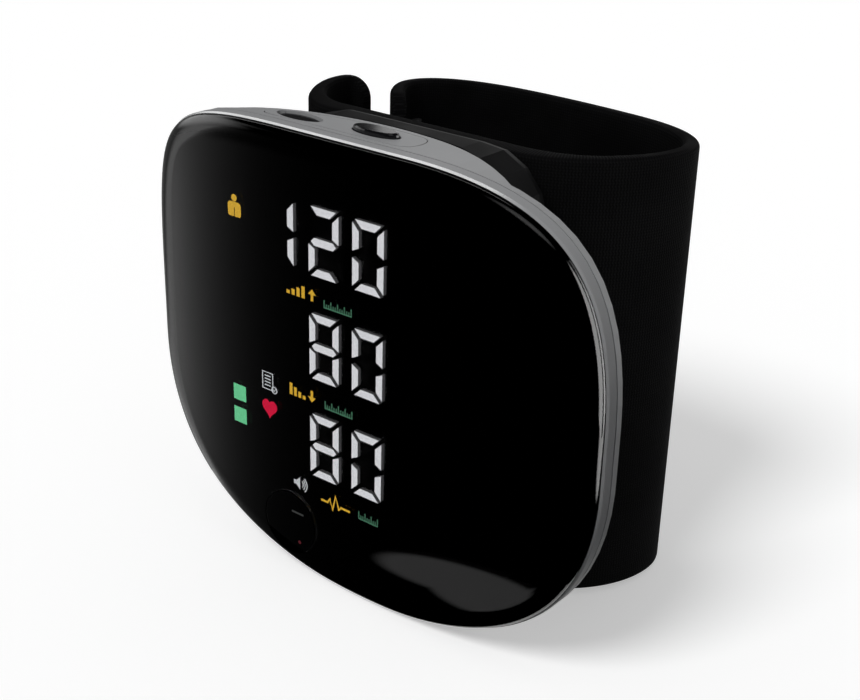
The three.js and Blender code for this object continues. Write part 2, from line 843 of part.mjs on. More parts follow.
function buildKeys() {
  const leaf = leafColumn(0, plateBottom, caseHeight);
  const holes = keys.map((key) => keyHole(key, plateBottom - overrun, caseHeight + overrun));
  addPart('button_plate', cut(leaf, ...holes), satin);

  keys.forEach((key) => {
    const top = caseHeight + key.rise;
    const half = keyLength / 2;
    const capBottom = flangeTop - keyFlangeThickness / 2;
    const profile = [new THREE.Vector2(0, capBottom), new THREE.Vector2(half, capBottom)];
    for (let i = 0; i <= cornerSteps; i += 1) {
      const angle = (Math.PI / 2) * (i / cornerSteps);
      const radius = half - keyDome * (1 - Math.cos(angle));
      profile.push(new THREE.Vector2(radius, top - keyDome + keyDome * Math.sin(angle)));
    }
    profile.push(new THREE.Vector2(0, top));
    const cap = new THREE.LatheGeometry(profile, roundSteps);
    cap.rotateX(Math.PI / 2);
    cap.scale(1, keyWidth / keyLength, 1);
    cap.translate(key.x, key.depth, 0);
    const length = keyLength + keyFlange * 2;
    const flange = ellipseColumn(length, keyFlangeWidth, key.x, key.depth, flangeBottom, flangeTop);
    const stem = post(keyStemRadius, key.x + key.stem, key.depth, [stemBottom, flangeTop]);
    addPart(key.name, join(cap, flange, stem), gloss);
  });

  const half = keySwitchSize / 2;
  keys.forEach((key) => {
    const x = key.x + key.stem;
    const deep = [key.depth - half, key.depth + half];
    addPart(key.switchName, block([x - half, x + half], deep, [keyBoardTop, keySwitchTop]), black);
  });

  const left = keys[0].x + keys[0].stem - half - contactGap;
  const right = keys[1].x + keys[1].stem + half + contactGap;
  const back = browDepthAt(left) - browWall - contactGap;
  const front = displayBoardBack + contactGap;
  addPart('key_board', block([left, right], [front, back], [keyBoardBottom, keyBoardTop]), board);
}

// Where the air leaves the manifold for the cuff
const nozzleX = manifoldLeft + manifoldWidth / 2;
const nozzleZ = manifoldBottom + manifoldHeight / 2;
const manifoldFront = mainBoardBack + contactGap;
const manifoldBack = manifoldFront + manifoldDepth;
const pumpDepth = coverInner - slipGap - motorRadius - sleeveWall;
const headBottom = innerBase + motorLength;
const outletBottom = headBottom + headLength;

function buildCover() {
  const body = wrap(coverContour, [
    [0, lipDepth],
    ...coverEdgeShares.map(([inset, drop]) => [coverEdge * inset, coverDepth - coverEdge * drop]),
  ]);
  const room = wrap(coverContour, [[coverWall, lipDepth - overrun], [coverWall, coverInner]]);
  const brow = browColumn(contactGap, -overrun, -overrun, caseHeight + overrun);
  const wallSpan = [coverInner - overrun, coverDepth + overrun];
  const shanks = screwSeats.map(([x, z]) => (
    rod(screwShankRadius + screwClearance, x, wallSpan, z)
  ));
  const recesses = screwSeats.map(([x, z]) => (
    rod(screwHeadRadius + screwClearance, x, [coverDepth - screwRecess, coverDepth + overrun], z)
  ));
  const nozzleHole = rod(nozzleRadius + holeClearance, nozzleX, wallSpan, nozzleZ);
  const socketMiddle = socketFront + socketHeight / 2;
  const socketHole = block(
    [coverLeft - overrun, coverLeft + coverWall + overrun],
    [socketMiddle - socketHeight / 2 - screwClearance, socketMiddle + socketHeight / 2 + screwClearance],
    [socketBottom - screwClearance, socketBottom + socketLength + screwClearance],
  );
  const soundHoles = [-1, 0, 1].flatMap((row) => [-1, 0, 1].map((place) => beam(
    soundHoleRadius,
    [coverRight - coverWall - overrun, coverRight + overrun],
    speakerDepth + place * soundHoleSpacing,
    speakerZ + row * soundHoleSpacing,
    curveSteps,
  )));
  const holes = [...shanks, ...recesses, nozzleHole, socketHole, ...soundHoles];
  addPart('back_cover', cut(body, room, brow, ...holes), black);

  const headBack = coverDepth - screwRecess + screwHeadHeight;
  screwSeats.forEach(([x, z], i) => addPart(`cover_screw_${i + 1}`, join(
    rod(screwHeadRadius, x, [coverDepth - screwRecess, headBack], z),
    rod(screwShankRadius, x, [coverInner - screwShankLength, headBack - screwHeadHeight / 2], z),
  ), steel));
}

function buildPower() {
  const right = cellLeft + cellWidth;
  const cellFront = mainBoardBack + padThickness;
  const padShape = roundedRectangle(
    cellLeft + padMargin, right - padMargin,
    innerBase + padMargin, cellTop - padMargin,
    padMargin,
  );
  addPart('cell_pad', plate(padShape, mainBoardBack, cellFront), rubber);
  const cellShape = roundedRectangle(cellLeft, right, innerBase, cellTop, cellRadius);
  addPart('battery_cell', plate(cellShape, cellFront, cellFront + cellThickness), foil);

  const socketLeft = coverLeft + socketInsetFromWall;
  const socketTop = socketBottom + socketLength;
  const socketBack = socketFront + socketHeight;
  const shellRadius = socketHeight / 2 - socketShell;
  const shellShape = roundedRectangle(socketFront, socketBack, socketBottom, socketTop, shellRadius);
  const shell = sidewaysBar(shellShape, socketLeft, socketLeft + socketReach);
  const mouthShape = roundedRectangle(
    socketFront + socketShell, socketBack - socketShell,
    socketBottom + socketShell, socketTop - socketShell,
    shellRadius - socketShell,
  );
  const mouth = sidewaysBar(mouthShape, socketLeft - overrun, socketLeft + socketMouthDepth);
  const middle = (socketFront + socketBack) / 2;
  const tongue = block(
    [socketLeft + socketShell, socketLeft + socketMouthDepth + socketShell],
    [middle - socketTongue / 2, middle + socketTongue / 2],
    [socketBottom + socketHeight / 2, socketTop - socketHeight / 2],
  );
  addPart('charging_socket', join(cut(shell, mouth), tongue), steel);

  const boardBack = socketFront;
  const boardFront = boardBack - boardThickness;
  const boardLeft = coverLeft + coverWall + contactGap;
  const boardRight = cellLeft - contactGap;
  const legX = mainBoardLeft + spacerRadius * 2;
  const legs = [socketBottom + spacerRadius, socketTop - spacerRadius].map((z) => (
    rod(spacerRadius, legX, [mainBoardBack, boardBack - boardThickness / 2], z)
  ));
  const shelf = block(
    [boardLeft, boardRight],
    [boardFront, boardBack],
    [socketBottom - contactGap, socketTop + contactGap],
  );
  addPart('charging_board', join(shelf, ...legs), board);
}

// A shape drawn in depth and height, run from left to right
function sidewaysBar(shape, left, right) {
  const settings = { depth: right - left, bevelEnabled: false, curveSegments: slimSteps };
  const geometry = new THREE.ExtrudeGeometry(shape, settings);
  const turn = new THREE.Matrix4().set(0, 0, 1, left, 1, 0, 0, 0, 0, 1, 0, 0, 0, 0, 0, 1);
  geometry.applyMatrix4(turn);
  return geometry;
}

function buildAir() {
  addPart('pump_motor', post(motorRadius, pumpX, pumpDepth, [innerBase, headBottom], roundSteps), steel);
  const outer = motorRadius + sleeveWall;
  const inner = motorRadius + slipGap;
  const sleeveBottom = innerBase + (motorLength - sleeveLength) / 2;
  const ring = [
    new THREE.Vector2(inner, sleeveBottom),
    new THREE.Vector2(outer, sleeveBottom),
    new THREE.Vector2(outer, sleeveBottom + sleeveLength),
    new THREE.Vector2(inner, sleeveBottom + sleeveLength),
    new THREE.Vector2(inner, sleeveBottom),
  ];
  const sleeve = new THREE.LatheGeometry(ring, roundSteps);
  sleeve.rotateX(Math.PI / 2);
  sleeve.translate(pumpX, pumpDepth, 0);
  addPart('pump_sleeve', sleeve, rubber);

  const half = headSize / 2;
  const head = block(
    [pumpX - half, pumpX + half],
    [pumpDepth - half, pumpDepth + half],
    [headBottom, outletBottom],
  );
  const outlet = post(outletRadius, pumpX, pumpDepth, [outletBottom - overrun, outletBottom + outletLength]);
  addPart('pump_head', join(head, outlet), grey);

  const manifoldRight = manifoldLeft + manifoldWidth;
  const manifoldTop = manifoldBottom + manifoldHeight;
  const tubeStart = outletBottom + outletLength + contactGap;
  const bend = nozzleZ - tubeStart;
  const depth = (manifoldFront + manifoldBack) / 2;
  const route = new THREE.CurvePath();
  route.add(new THREE.CubicBezierCurve3(
    new THREE.Vector3(pumpX, pumpDepth, tubeStart),
    new THREE.Vector3(pumpX, pumpDepth, tubeStart + bend * tubeRiseShare),
    new THREE.Vector3(pumpX - bend * tubeBendShare, depth, nozzleZ),
    new THREE.Vector3(manifoldRight + contactGap, depth, nozzleZ),
  ));
  const section = new THREE.Shape();
  section.absarc(0, 0, tubeRadius, 0, Math.PI * 2, false);
  addPart('air_tube', new THREE.ExtrudeGeometry(section, {
    steps: tubeSteps,
    extrudePath: route.curves[0],
    curveSegments: slimSteps,
  }), silicone);

  addPart('air_manifold', block(
    [manifoldLeft, manifoldRight],
    [manifoldFront, manifoldBack],
    [manifoldBottom, manifoldTop],
  ), silicone);
  const valveSpan = [manifoldTop + contactGap, manifoldTop + valveHeight];
  addPart('air_valve', post(valveRadius, nozzleX, depth, valveSpan, roundSteps), steel);

  const sensorZ = nozzleZ;
  const sensorBack = mainBoardBack + sensorThickness;
  const sensor = block(
    [sensorRight - sensorWidth, sensorRight],
    [mainBoardBack, sensorBack],
    [sensorZ - sensorHeight / 2, sensorZ + sensorHeight / 2],
  );
  const portSpan = [sensorRight - overrun, manifoldLeft - contactGap];
  const portDepth = sensorBack - sensorPortRadius - contactGap;
  const port = beam(sensorPortRadius, portSpan, portDepth, sensorZ);
  addPart('pressure_sensor', join(sensor, port), white);

  const nozzleEnd = coverDepth + nozzleReach;
  const flangeBack = coverInner - sealThickness;
  const pipeStart = manifoldBack + contactGap;
  const flangeSpan = [flangeBack - nozzleFlangeThickness, flangeBack];
  const boreSpan = [pipeStart + nozzleEndWall, nozzleEnd + overrun];
  const pipe = rod(nozzleRadius, nozzleX, [pipeStart, nozzleEnd], nozzleZ);
  const flange = rod(nozzleFlangeRadius, nozzleX, flangeSpan, nozzleZ, roundSteps);
  const bore = rod(nozzleBore, nozzleX, boreSpan, nozzleZ, curveSteps);
  addPart('air_nozzle', cut(join(pipe, flange), bore), white);

  const seal = [
    new THREE.Vector2(nozzleRadius + slipGap, flangeBack),
    new THREE.Vector2(nozzleFlangeRadius, flangeBack),
    new THREE.Vector2(nozzleFlangeRadius, coverInner),
    new THREE.Vector2(nozzleRadius + slipGap, coverInner),
    new THREE.Vector2(nozzleRadius + slipGap, flangeBack),
  ];
  const sealRing = new THREE.LatheGeometry(seal, roundSteps);
  sealRing.translate(nozzleX, 0, nozzleZ);
  addPart('nozzle_seal', sealRing, rubber);

  const speakerRight = coverRight - coverWall - slipGap;
  const speakerSpan = [speakerRight - speakerThickness, speakerRight];
  addPart('speaker', beam(speakerRadius, speakerSpan, speakerDepth, speakerZ, roundSteps), steel);
}

function buildChips() {
  const middle = (mainBoardLeft + mainBoardRight) / 2;
  const front = mainBoardFront - boardThickness;
  const half = chipSize / 2;
  const places = [['controller_chip', controllerShare], ['memory_chip', memoryShare]];
  places.forEach(([name, share]) => {
    const z = THREE.MathUtils.lerp(innerBase, mainBoardTop, share);
    const across = [middle - half, middle + half];
    addPart(name, block(across, [front, mainBoardFront], [z - half, z + half]), black);
  });
}

// The cuff's middle line, seen from above, from the short end's tip to the long end's tip
const padMiddle = coverDepth + strapPlateThickness + padThicknessAtCase / 2;

function cuffPoint([xShare, depthShare]) {
  return new THREE.Vector2(xShare * cuffWidth, padMiddle + depthShare * cuffDepth);
}

const nearStart = cuffPoint([nearStartShare, 0]);
const nearEnd = cuffPoint([nearEndShare, 0]);

function cuffBezier(...names) {
  const pointOf = (name) => (name instanceof THREE.Vector2 ? name : cuffPoint(cuffPathShares[name]));
  return new THREE.CubicBezierCurve(...names.map(pointOf));
}

const cuffCurves = [
  cuffBezier('hookTip', 'hookTipHandle', 'hookSideHandle', 'hookSide'),
  cuffBezier('hookSide', 'hookLowHandle', 'hookStartHandle', nearStart),
  new THREE.LineCurve(nearStart, nearEnd),
  cuffBezier(nearEnd, 'turnStartHandle', 'turnLowHandle', 'turn'),
  cuffBezier('turn', 'turnHighHandle', 'farStartHandle', 'farStart'),
  cuffBezier('farStart', 'farHandle', 'farEndHandle', 'farEnd'),
  cuffBezier('farEnd', 'curlHandle', 'curlHighHandle', 'curl'),
  cuffBezier('curl', 'curlLowHandle', 'tailHandle', 'tail'),
];
const cuffLine = new THREE.CurvePath();
cuffCurves.forEach((curve) => cuffLine.add(curve));
const cuffLength = cuffLine.getLength();
const jointLengths = cuffLine.getCurveLengths();
const nearStartLength = jointLengths[1];
const nearEndLength = jointLengths[2];
const foldLength = (jointLengths[2] + jointLengths[3]) / 2;
const farStartLength = jointLengths[4];

// Half the strap's thickness: full behind the case, thinning to the strap beside it
function halfThicknessAt(length) {
  const thin = strapThickness / 2;
  const thick = padThicknessAtCase / 2;
  const reach = foldLength - nearEndLength;
  const away = Math.max(nearStartLength - length, length - nearEndLength, 0) / reach;
  return THREE.MathUtils.lerp(thick, thin, THREE.MathUtils.smoothstep(away, 0, 1));
}

function strapStations(from, to, roundedEnd) {
  const marks = [];
  let start = 0;
  jointLengths.forEach((end) => {
    for (let i = 0; i <= curveSteps; i += 1) {
      marks.push(start + (end - start) * (i / curveSteps));
    }
    start = end;
  });
  if (roundedEnd !== null) {
    const inwards = roundedEnd === from ? 1 : -1;
    for (let i = 0; i <= curveSteps; i += 1) {
      const angle = (Math.PI / 2) * (i / curveSteps);
      marks.push(roundedEnd + inwards * strapTipRadius * (1 - Math.cos(angle)));
    }
  }
  const inside = marks.filter((mark) => mark > from + stationGap && mark < to - stationGap);
  const stations = inside.sort((a, b) => a - b).reduce((kept, mark) => (
    mark - kept.at(-1) > stationGap ? [...kept, mark] : kept
  ), [from]);
  return [...stations, to];
}

// The near wall and the short end stand higher than the far wall. The turn evens this out.
function riseAt(length) {
  const along = (length - foldLength) / (farStartLength - foldLength);
  return cuffRise * (1 - THREE.MathUtils.smoothstep(along, 0, 1));
}

// A strap between two places on the middle line. Its section stands upright, and its
// corners are rounded at the given end. A shift moves it towards the wrist's side.
function strap({ from, to, roundedEnd = null, half = null, shift = 0, bottom = 0, top = cuffHeight }) {
  const stations = strapStations(from, to, roundedEnd);
  const points = [];
  stations.forEach((length) => {
    const tangent = cuffLine.getTangent(Math.min(length / cuffLength, 1));
    const middle = cuffLine.getPoint(Math.min(length / cuffLength, 1));
    const inwards = new THREE.Vector2(-tangent.y, tangent.x);
    const reach = half ?? halfThicknessAt(length);
    const outer = middle.clone().addScaledVector(inwards, shift - reach);
    const inner = middle.clone().addScaledVector(inwards, shift + reach);
    const away = roundedEnd === null ? strapTipRadius : Math.abs(length - roundedEnd);
    const short = Math.max(strapTipRadius - away, 0);
    const drop = strapTipRadius - Math.sqrt(strapTipRadius ** 2 - short ** 2);
    const low = bottom + drop + riseAt(length);
    const high = top - drop + riseAt(length);
    points.push(
      new THREE.Vector3(outer.x, outer.y, low),
      new THREE.Vector3(inner.x, inner.y, low),
      new THREE.Vector3(inner.x, inner.y, high),
      new THREE.Vector3(outer.x, outer.y, high),
    );
  });
  const triangles = [[0, 1, 2], [0, 2, 3]];
  for (let i = 0; i < stations.length - 1; i += 1) {
    for (let side = 0; side < 4; side += 1) {
      const a = i * 4 + side;
      const b = i * 4 + ((side + 1) % 4);
      triangles.push([a, a + 4, b + 4], [a, b + 4, b]);
    }
  }
  const last = (stations.length - 1) * 4;
  triangles.push([last, last + 2, last + 1], [last, last + 3, last + 2]);
  return closedMesh(points, triangles);
}

function buildCuff() {
  const plateBack = coverDepth + strapPlateThickness;
  const plateShape = roundedRectangle(
    coverLeft + strapPlateMargin, coverRight - strapPlateRightMargin,
    coverBottom + strapPlateMargin, caseHeight - strapPlateMargin,
    strapPlateMargin,
  );
  const nozzleHole = rod(
    nozzleRadius + holeClearance,
    nozzleX,
    [coverDepth - overrun, plateBack + pocketWall + overrun],
    nozzleZ,
  );
  addPart('strap_plate', cut(plate(plateShape, coverDepth, plateBack), nozzleHole), black);

  const pocketFront = plateBack + pocketWall;
  const pocketBack = plateBack + padThicknessAtCase - pocketWall;
  const pocketLeft = nearStart.x;
  const pocketRight = nearEnd.x;
  const pocketBottom = cuffRise + pocketMargin;
  const pocketTop = cuffRise + cuffHeight - pocketMargin;
  const pocket = block([pocketLeft, pocketRight], [pocketFront, pocketBack], [pocketBottom, pocketTop]);
  const base = strap({ from: 0, to: foldLength - foldGap / 2, roundedEnd: 0 });
  addPart('cuff_sleeve', cut(base, pocket, nozzleHole), fabric);

  const stiffenerFront = pocketFront + layerGap;
  const stiffenerBack = stiffenerFront + stiffenerThickness;
  const layer = [
    pocketLeft + layerGap, pocketRight - layerGap,
    pocketBottom + layerGap, pocketTop - layerGap,
  ];
  const layerShape = roundedRectangle(...layer, layerRadius);
  const inletEnd = coverDepth + nozzleReach + holeClearance;
  const inletHole = rod(nozzleRadius + holeClearance, nozzleX, [pocketFront - overrun, inletEnd], nozzleZ);
  const stiffener = plate(layerShape, stiffenerFront, stiffenerBack);
  addPart('cuff_stiffener', cut(stiffener, inletHole), white);
  const bladderFront = stiffenerBack + layerGap;
  const bladder = plate(layerShape, bladderFront, bladderFront + bladderThickness);
  addPart('air_bladder', cut(bladder, inletHole), rubber);

  addPart('cuff_flap', strap({
    from: foldLength + foldGap / 2,
    to: cuffLength,
    roundedEnd: cuffLength,
  }), fabric);
  const patchEnd = cuffLength - strapTipRadius;
  addPart('hook_patch', strap({
    from: patchEnd - patchLength,
    to: patchEnd,
    half: patchThickness / 2,
    shift: (strapThickness + patchThickness) / 2 + patchGap,
    bottom: patchMargin,
    top: cuffHeight - patchMargin,
  }), rubber);
}

buildLens();
buildMaskAndGasket();
buildBezel();
buildLightGuide();
buildBoards();
buildChips();
buildHousing();
buildKeys();
buildCover();
buildPower();
buildAir();
buildCuff();

// Centre the model over its bounding box, with its lowest point at Z = 0
const bounds = new THREE.Box3().setFromObject(model);
model.position.set(-(bounds.min.x + bounds.max.x) / 2, -(bounds.min.y + bounds.max.y) / 2, -bounds.min.z);

export default model;
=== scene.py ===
"""Wrist blood pressure monitor: finishes, lit display signs, knitted cuff, camera and stage."""

from bisect import bisect_right
from functools import partial
import math

import bpy
from mathutils import Matrix, Vector
from mathutils.geometry import interpolate_bezier


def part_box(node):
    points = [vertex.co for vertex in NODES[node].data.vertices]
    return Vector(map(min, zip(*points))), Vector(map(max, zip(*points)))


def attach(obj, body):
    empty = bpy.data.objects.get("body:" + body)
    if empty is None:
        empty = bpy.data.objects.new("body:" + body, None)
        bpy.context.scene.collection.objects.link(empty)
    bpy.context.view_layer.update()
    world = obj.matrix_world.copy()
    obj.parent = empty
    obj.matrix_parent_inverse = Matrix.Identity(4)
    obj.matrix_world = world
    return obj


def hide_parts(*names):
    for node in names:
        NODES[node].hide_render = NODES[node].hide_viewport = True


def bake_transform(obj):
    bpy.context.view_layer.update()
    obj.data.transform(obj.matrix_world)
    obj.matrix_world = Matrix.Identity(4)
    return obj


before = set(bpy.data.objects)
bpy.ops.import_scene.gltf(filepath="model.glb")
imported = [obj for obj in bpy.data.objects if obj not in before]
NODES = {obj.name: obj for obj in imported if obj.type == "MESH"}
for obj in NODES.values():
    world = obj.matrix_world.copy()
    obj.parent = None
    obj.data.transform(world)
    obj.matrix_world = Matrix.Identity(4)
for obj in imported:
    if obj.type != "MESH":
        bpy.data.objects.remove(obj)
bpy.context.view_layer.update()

bl_info = {
    "name": "Wrist Blood Pressure Monitor",
    "version": (1, 0, 0),
    "blender": (4, 5, 0),
    "location": "3D View > Sidebar > Monitor",
    "description": "Dresses the solids of a wrist blood pressure monitor",
    "category": "Object",
}

MM = 0.001

# The case's frame: x from its middle, y behind the plane of its face, z above its foot
MASK_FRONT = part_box("display_mask")[0].y
GASKET_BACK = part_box("lens_gasket")[1].y
LENS_LOW, LENS_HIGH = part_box("front_lens")
BEZEL_LOW, BEZEL_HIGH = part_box("front_bezel")
BUTTON_LOW, BUTTON_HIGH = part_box("start_button")
SLEEVE_LOW, SLEEVE_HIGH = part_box("cuff_sleeve")
FACE = BEZEL_LOW.y
CASE_WIDTH = BEZEL_HIGH.x - BEZEL_LOW.x
CASE_HEIGHT = BEZEL_HIGH.z - BEZEL_LOW.z
BUTTON_X = (BUTTON_LOW.x + BUTTON_HIGH.x) / 2
BUTTON_Z = (BUTTON_LOW.z + BUTTON_HIGH.z) / 2
BUTTON_RADIUS = (BUTTON_HIGH.x - BUTTON_LOW.x) / 2

# The kinds of property
Length = partial(bpy.props.FloatProperty, unit="LENGTH")
Angle = partial(bpy.props.FloatProperty, subtype="ANGLE")
Share = partial(bpy.props.FloatProperty, min=0.0, max=1.0, subtype="FACTOR")
Colour = partial(bpy.props.FloatVectorProperty, size=3, min=0.0, max=1.0, subtype="COLOR")


class MonitorCase(bpy.types.PropertyGroup):
    """Sizes and finishes of the case and its window"""

    lens_edge: Length(
        name="Window Edge", description="Silver rim left showing round the window", default=0.28 * MM)
    lens_rise: Length(
        name="Window Rise", description="Height of the window's front over the case's face",
        default=FACE - LENS_LOW.y)
    lens_round: Length(
        name="Window Rounding", description="Width of the rounded border of the window", default=3.3 * MM)
    lens_rim: Length(
        name="Window Rim", description="Width of the rim that rests on the gasket", default=3.0 * MM)
    lens_pocket: Length(
        name="Window Pocket", description="Depth of the hollow behind the window", default=1.0 * MM)
    frame_edge: Length(
        name="Frame Edge", description="Width of the polished edge of the frame, seen from the front",
        default=0.19 * MM)
    frame_fall: Length(
        name="Frame Fall", description="Depth of the polished edge of the frame", default=0.4 * MM)
    frame_seat: Length(
        name="Frame Seat", description="Inset of the seat that holds the window", default=0.22 * MM)
    frame_ledge: Length(
        name="Frame Ledge", description="Width of the ledge behind the window", default=3.1 * MM)
    # Heights between which the frame edge's polish and its painted highlight fade in
    polish_and_highlight_low: Length(
        name="Polish Fade", description="Height where the frame's polish starts", default=56 * MM)
    polish_and_highlight_high: Length(
        name="Polish Full", description="Height from which the frame's edge is fully polished",
        default=62 * MM)
    button_gap: Length(name="Button Gap", description="Gap round the start button", default=0.2 * MM)
    window_tint: Share(
        name="Window Tint", description="Share of light that passes through the window",
        default=0.05, min=0.01)
    satin_colour: Colour(
        name="Satin Colour", description="Paint of the rear housing", default=(0.31, 0.313, 0.32))
    # Light plating colour of the frame's edge, painted only where its highlight falls
    plating_highlight_colour: Colour(
        name="Bright Colour", description="Plating of the front frame", default=(0.86, 0.865, 0.87))


class MonitorDisplay(bpy.types.PropertyGroup):
    """Lit colours of the digits and of the small signs"""

    digit_light: Share(
        name="Digit Light", description="Brightness of the digits seen through the window", default=0.68)
    side_light: Share(name="Side Light", description="Brightness of the digits' sides", default=0.04)
    amber: Colour(
        name="Amber", description="Light of the row marks and of the user sign", default=(0.62, 0.37, 0.035))
    green: Colour(name="Green", description="Light of the two level squares", default=(0.14, 0.57, 0.27))
    dim_green: Colour(name="Dim Green", description="Light of the unit marks", default=(0.06, 0.17, 0.10))
    red: Colour(name="Red", description="Light of the pulse sign", default=(0.62, 0.01, 0.045))
    white: Colour(
        name="White", description="Light of the notes sign and of the sound sign", default=(0.50, 0.52, 0.52))


class MonitorCuff(bpy.types.PropertyGroup):
    """Sizes and weave of the cuff"""

    thickness: Length(
        name="Strap Thickness", description="Thickness of the strap beside the case", default=2.4 * MM)
    pad_thickness: Length(
        name="Pad Thickness", description="Thickness of the padded wall behind the case", default=3.8 * MM)
    height: Length(
        name="Strap Height", description="Height of the strap", default=SLEEVE_HIGH.z - SLEEVE_LOW.z)
    rise: Length(
        name="Strap Rise", description="How much higher the near wall stands than the far wall",
        default=SLEEVE_LOW.z)
    tip_radius: Length(
        name="Tip Radius", description="Rounding of the strap's two ends", default=3.75 * MM)
    edge_radius: Length(name="Edge Radius", description="Rounding of the bound edges", default=0.75 * MM)
    knit_pitch: Length(
        name="Knit Pitch", description="Distance between two rows of the knit", default=0.42 * MM)
    colour: Colour(
        name="Cuff Colour", description="Colour of the knitted cover", default=(0.0042, 0.0042, 0.0044))


class MonitorStage(bpy.types.PropertyGroup):
    """Camera and floor"""

    azimuth: Angle(
        name="Azimuth", description="Camera's turn to the right of the face", default=math.radians(38.2))
    elevation: Angle(name="Elevation", description="Camera's height angle", default=math.radians(24.3))
    roll: Angle(name="Roll", description="Camera's turn about its own axis", default=math.radians(1.56))
    distance: Length(
        name="Distance", description="Distance from the camera to its target", default=0.1923)
    lens: bpy.props.FloatProperty(
        name="Focal Length", description="Focal length of the camera on a 36 mm sensor",
        default=60.28, unit="CAMERA")
    floor_colour: Colour(name="Floor Colour", description="Colour of the floor", default=(0.8, 0.8, 0.8))
    floor_bounce: Share(
        name="Floor Bounce", description="Share of the floor's brightness that lights the object from below",
        default=0.1)


def case_point(x, depth, z):
    return Vector((x, FACE + depth, z))


def mix(a, b, share):
    return a + (b - a) * share


def smooth_share(value):
    value = min(max(value, 0.0), 1.0)
    return value * value * (3 - 2 * value)


def mesh_object(name, vertices, faces, body, smooth=True):
    """A new piece, in the case's frame, that rides on a body"""
    mesh = bpy.data.meshes.new(name)
    mesh.from_pydata([tuple(v) for v in vertices], [], faces)
    mesh.update()
    for polygon in mesh.polygons:
        polygon.use_smooth = smooth
    piece = bpy.data.objects.new(name, mesh)
    bpy.context.scene.collection.objects.link(piece)
    if body:
        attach(piece, body)
    return piece


def paint(name, material):
    """Puts a material on a node or on a piece"""
    piece = NODES[name] if isinstance(name, str) else name
    if not piece.data.materials:
        piece.data.materials.append(material)
    for index in range(len(piece.data.materials)):
        piece.data.materials[index] = material


def paint_all(material, names):
    for name in names:
        paint(name, material)


class Shader:
    """The node tree of a material or group, with short calls to add nodes and links"""

    def __init__(self, tree):
        self.tree = tree

    def add(self, kind, inputs=None, **settings):
        node = self.tree.nodes.new("ShaderNode" + kind)
        for key, value in settings.items():
            setattr(node, key, value)
        for key, value in (inputs or {}).items():
            if isinstance(value, bpy.types.NodeSocket):
                self.tree.links.new(value, node.inputs[key])
            else:
                node.inputs[key].default_value = value
        return node

    def link(self, value, node, name):
        self.tree.links.new(value, node.inputs[name])

    def math(self, operation, a, b=0.0, c=0.0):
        return self.add("Math", {0: a, 1: b, 2: c}, operation=operation).outputs[0]

    def plus(self, a, b):
        return self.math("ADD", a, b)

    def minus(self, a, b):
        return self.math("SUBTRACT", a, b)

    def times(self, a, b):
        return self.math("MULTIPLY", a, b)

    def larger(self, a, b):
        return self.math("MAXIMUM", a, b)

    def below(self, a, b):
        return self.math("LESS_THAN", a, b)

    def blend(self, factor, a, b):
        return self.add("Mix", {0: factor, 6: a, 7: b}, data_type="RGBA").outputs[2]

    def ramp(self, value, low, high, first=0.0, last=1.0):
        inputs = {"Value": value, "From Min": low, "From Max": high, "To Min": first, "To Max": last}
        return self.add("MapRange", inputs, interpolation_type="SMOOTHSTEP").outputs[0]

    def within(self, value, start, full, end, still_full):
        """1 between two soft edges. Each is given from its outside to its inside."""
        return self.times(self.ramp(value, start, full), self.ramp(value, end, still_full))

    def group(self, name, inputs):
        return self.add("Group", inputs, node_tree=bpy.data.node_groups[name])

    def place(self):
        """Where the surface is on its own piece, in metres"""
        return self.add("TexCoord").outputs["Object"]

    def axes(self):
        """Where the surface is on its own piece, as x, y and z"""
        return self.add("SeparateXYZ", {0: self.place()}).outputs


def new_group(name, inputs, outputs):
    """A shader node group with named sockets. Returns its shader, input node and output node."""
    tree = bpy.data.node_groups.new(name, "ShaderNodeTree")
    for label, kind, default in inputs:
        socket = tree.interface.new_socket(name=label, in_out="INPUT", socket_type="NodeSocket" + kind)
        if default is not None:
            socket.default_value = default
    for label in outputs:
        tree.interface.new_socket(name=label, in_out="OUTPUT", socket_type="NodeSocketFloat")
    return Shader(tree), tree.nodes.new("NodeGroupInput"), tree.nodes.new("NodeGroupOutput")


def make_grain_group():
    """Fine moulded or painted grain, with slower cloudy changes, measured in metres"""
    shader, source, target = new_group(
        "Fine Grain",
        [("Grain Size", "Float", 0.3 * MM), ("Cloud Size", "Float", 10 * MM)],
        ["Grain", "Cloud"],
    )
    place = shader.place()
    for label, detail in (("Grain", 2.0), ("Cloud", 3.0)):
        scale = shader.math("DIVIDE", 1.0, source.outputs[label + " Size"])
        noise = shader.add("TexNoise", {"Vector": place, "Scale": scale, "Detail": detail})
        shader.link(noise.outputs[0], target, label)


def make_knit_group():
    """Rows of small loops along the strap. Heights and a mask of the loops' tops come out."""
    loop_share, slant_share, cloud_scale = 0.6, 0.9, 90.0
    shader, source, target = new_group(
        "Knit Rows",
        [("Strap Place", "Vector", None), ("Pitch", "Float", 0.5 * MM)],
        ["Height", "Tops", "Cloud"],
    )
    scale = shader.math("DIVIDE", math.tau, source.outputs["Pitch"])
    parts = shader.add("SeparateXYZ", {0: source.outputs["Strap Place"]}).outputs
    along = shader.times(parts[0], scale)
    up = shader.times(parts[1], scale)
    slant = shader.times(shader.math("SINE", shader.times(up, 0.5)), slant_share)
    loops = shader.math("SINE", shader.plus(along, slant))
    rows = shader.times(shader.math("SINE", up), 1 - loop_share)
    height = shader.math("MULTIPLY_ADD", loops, loop_share, rows)
    cloud = shader.add("TexNoise", {"Vector": shader.place(), "Scale": cloud_scale, "Detail": 4.0})
    shader.link(height, target, "Height")
    shader.link(shader.ramp(height, 0.0, 1.0), target, "Tops")
    shader.link(cloud.outputs[0], target, "Cloud")


def new_material(name, settings):
    """A material with one Principled shader. Returns the material, its shader and that node."""
    material = bpy.data.materials.new(name)
    material.use_nodes = True
    surface = material.node_tree.nodes["Principled BSDF"]
    for key, value in settings.items():
        surface.inputs[key].default_value = value
    return material, Shader(material.node_tree), surface


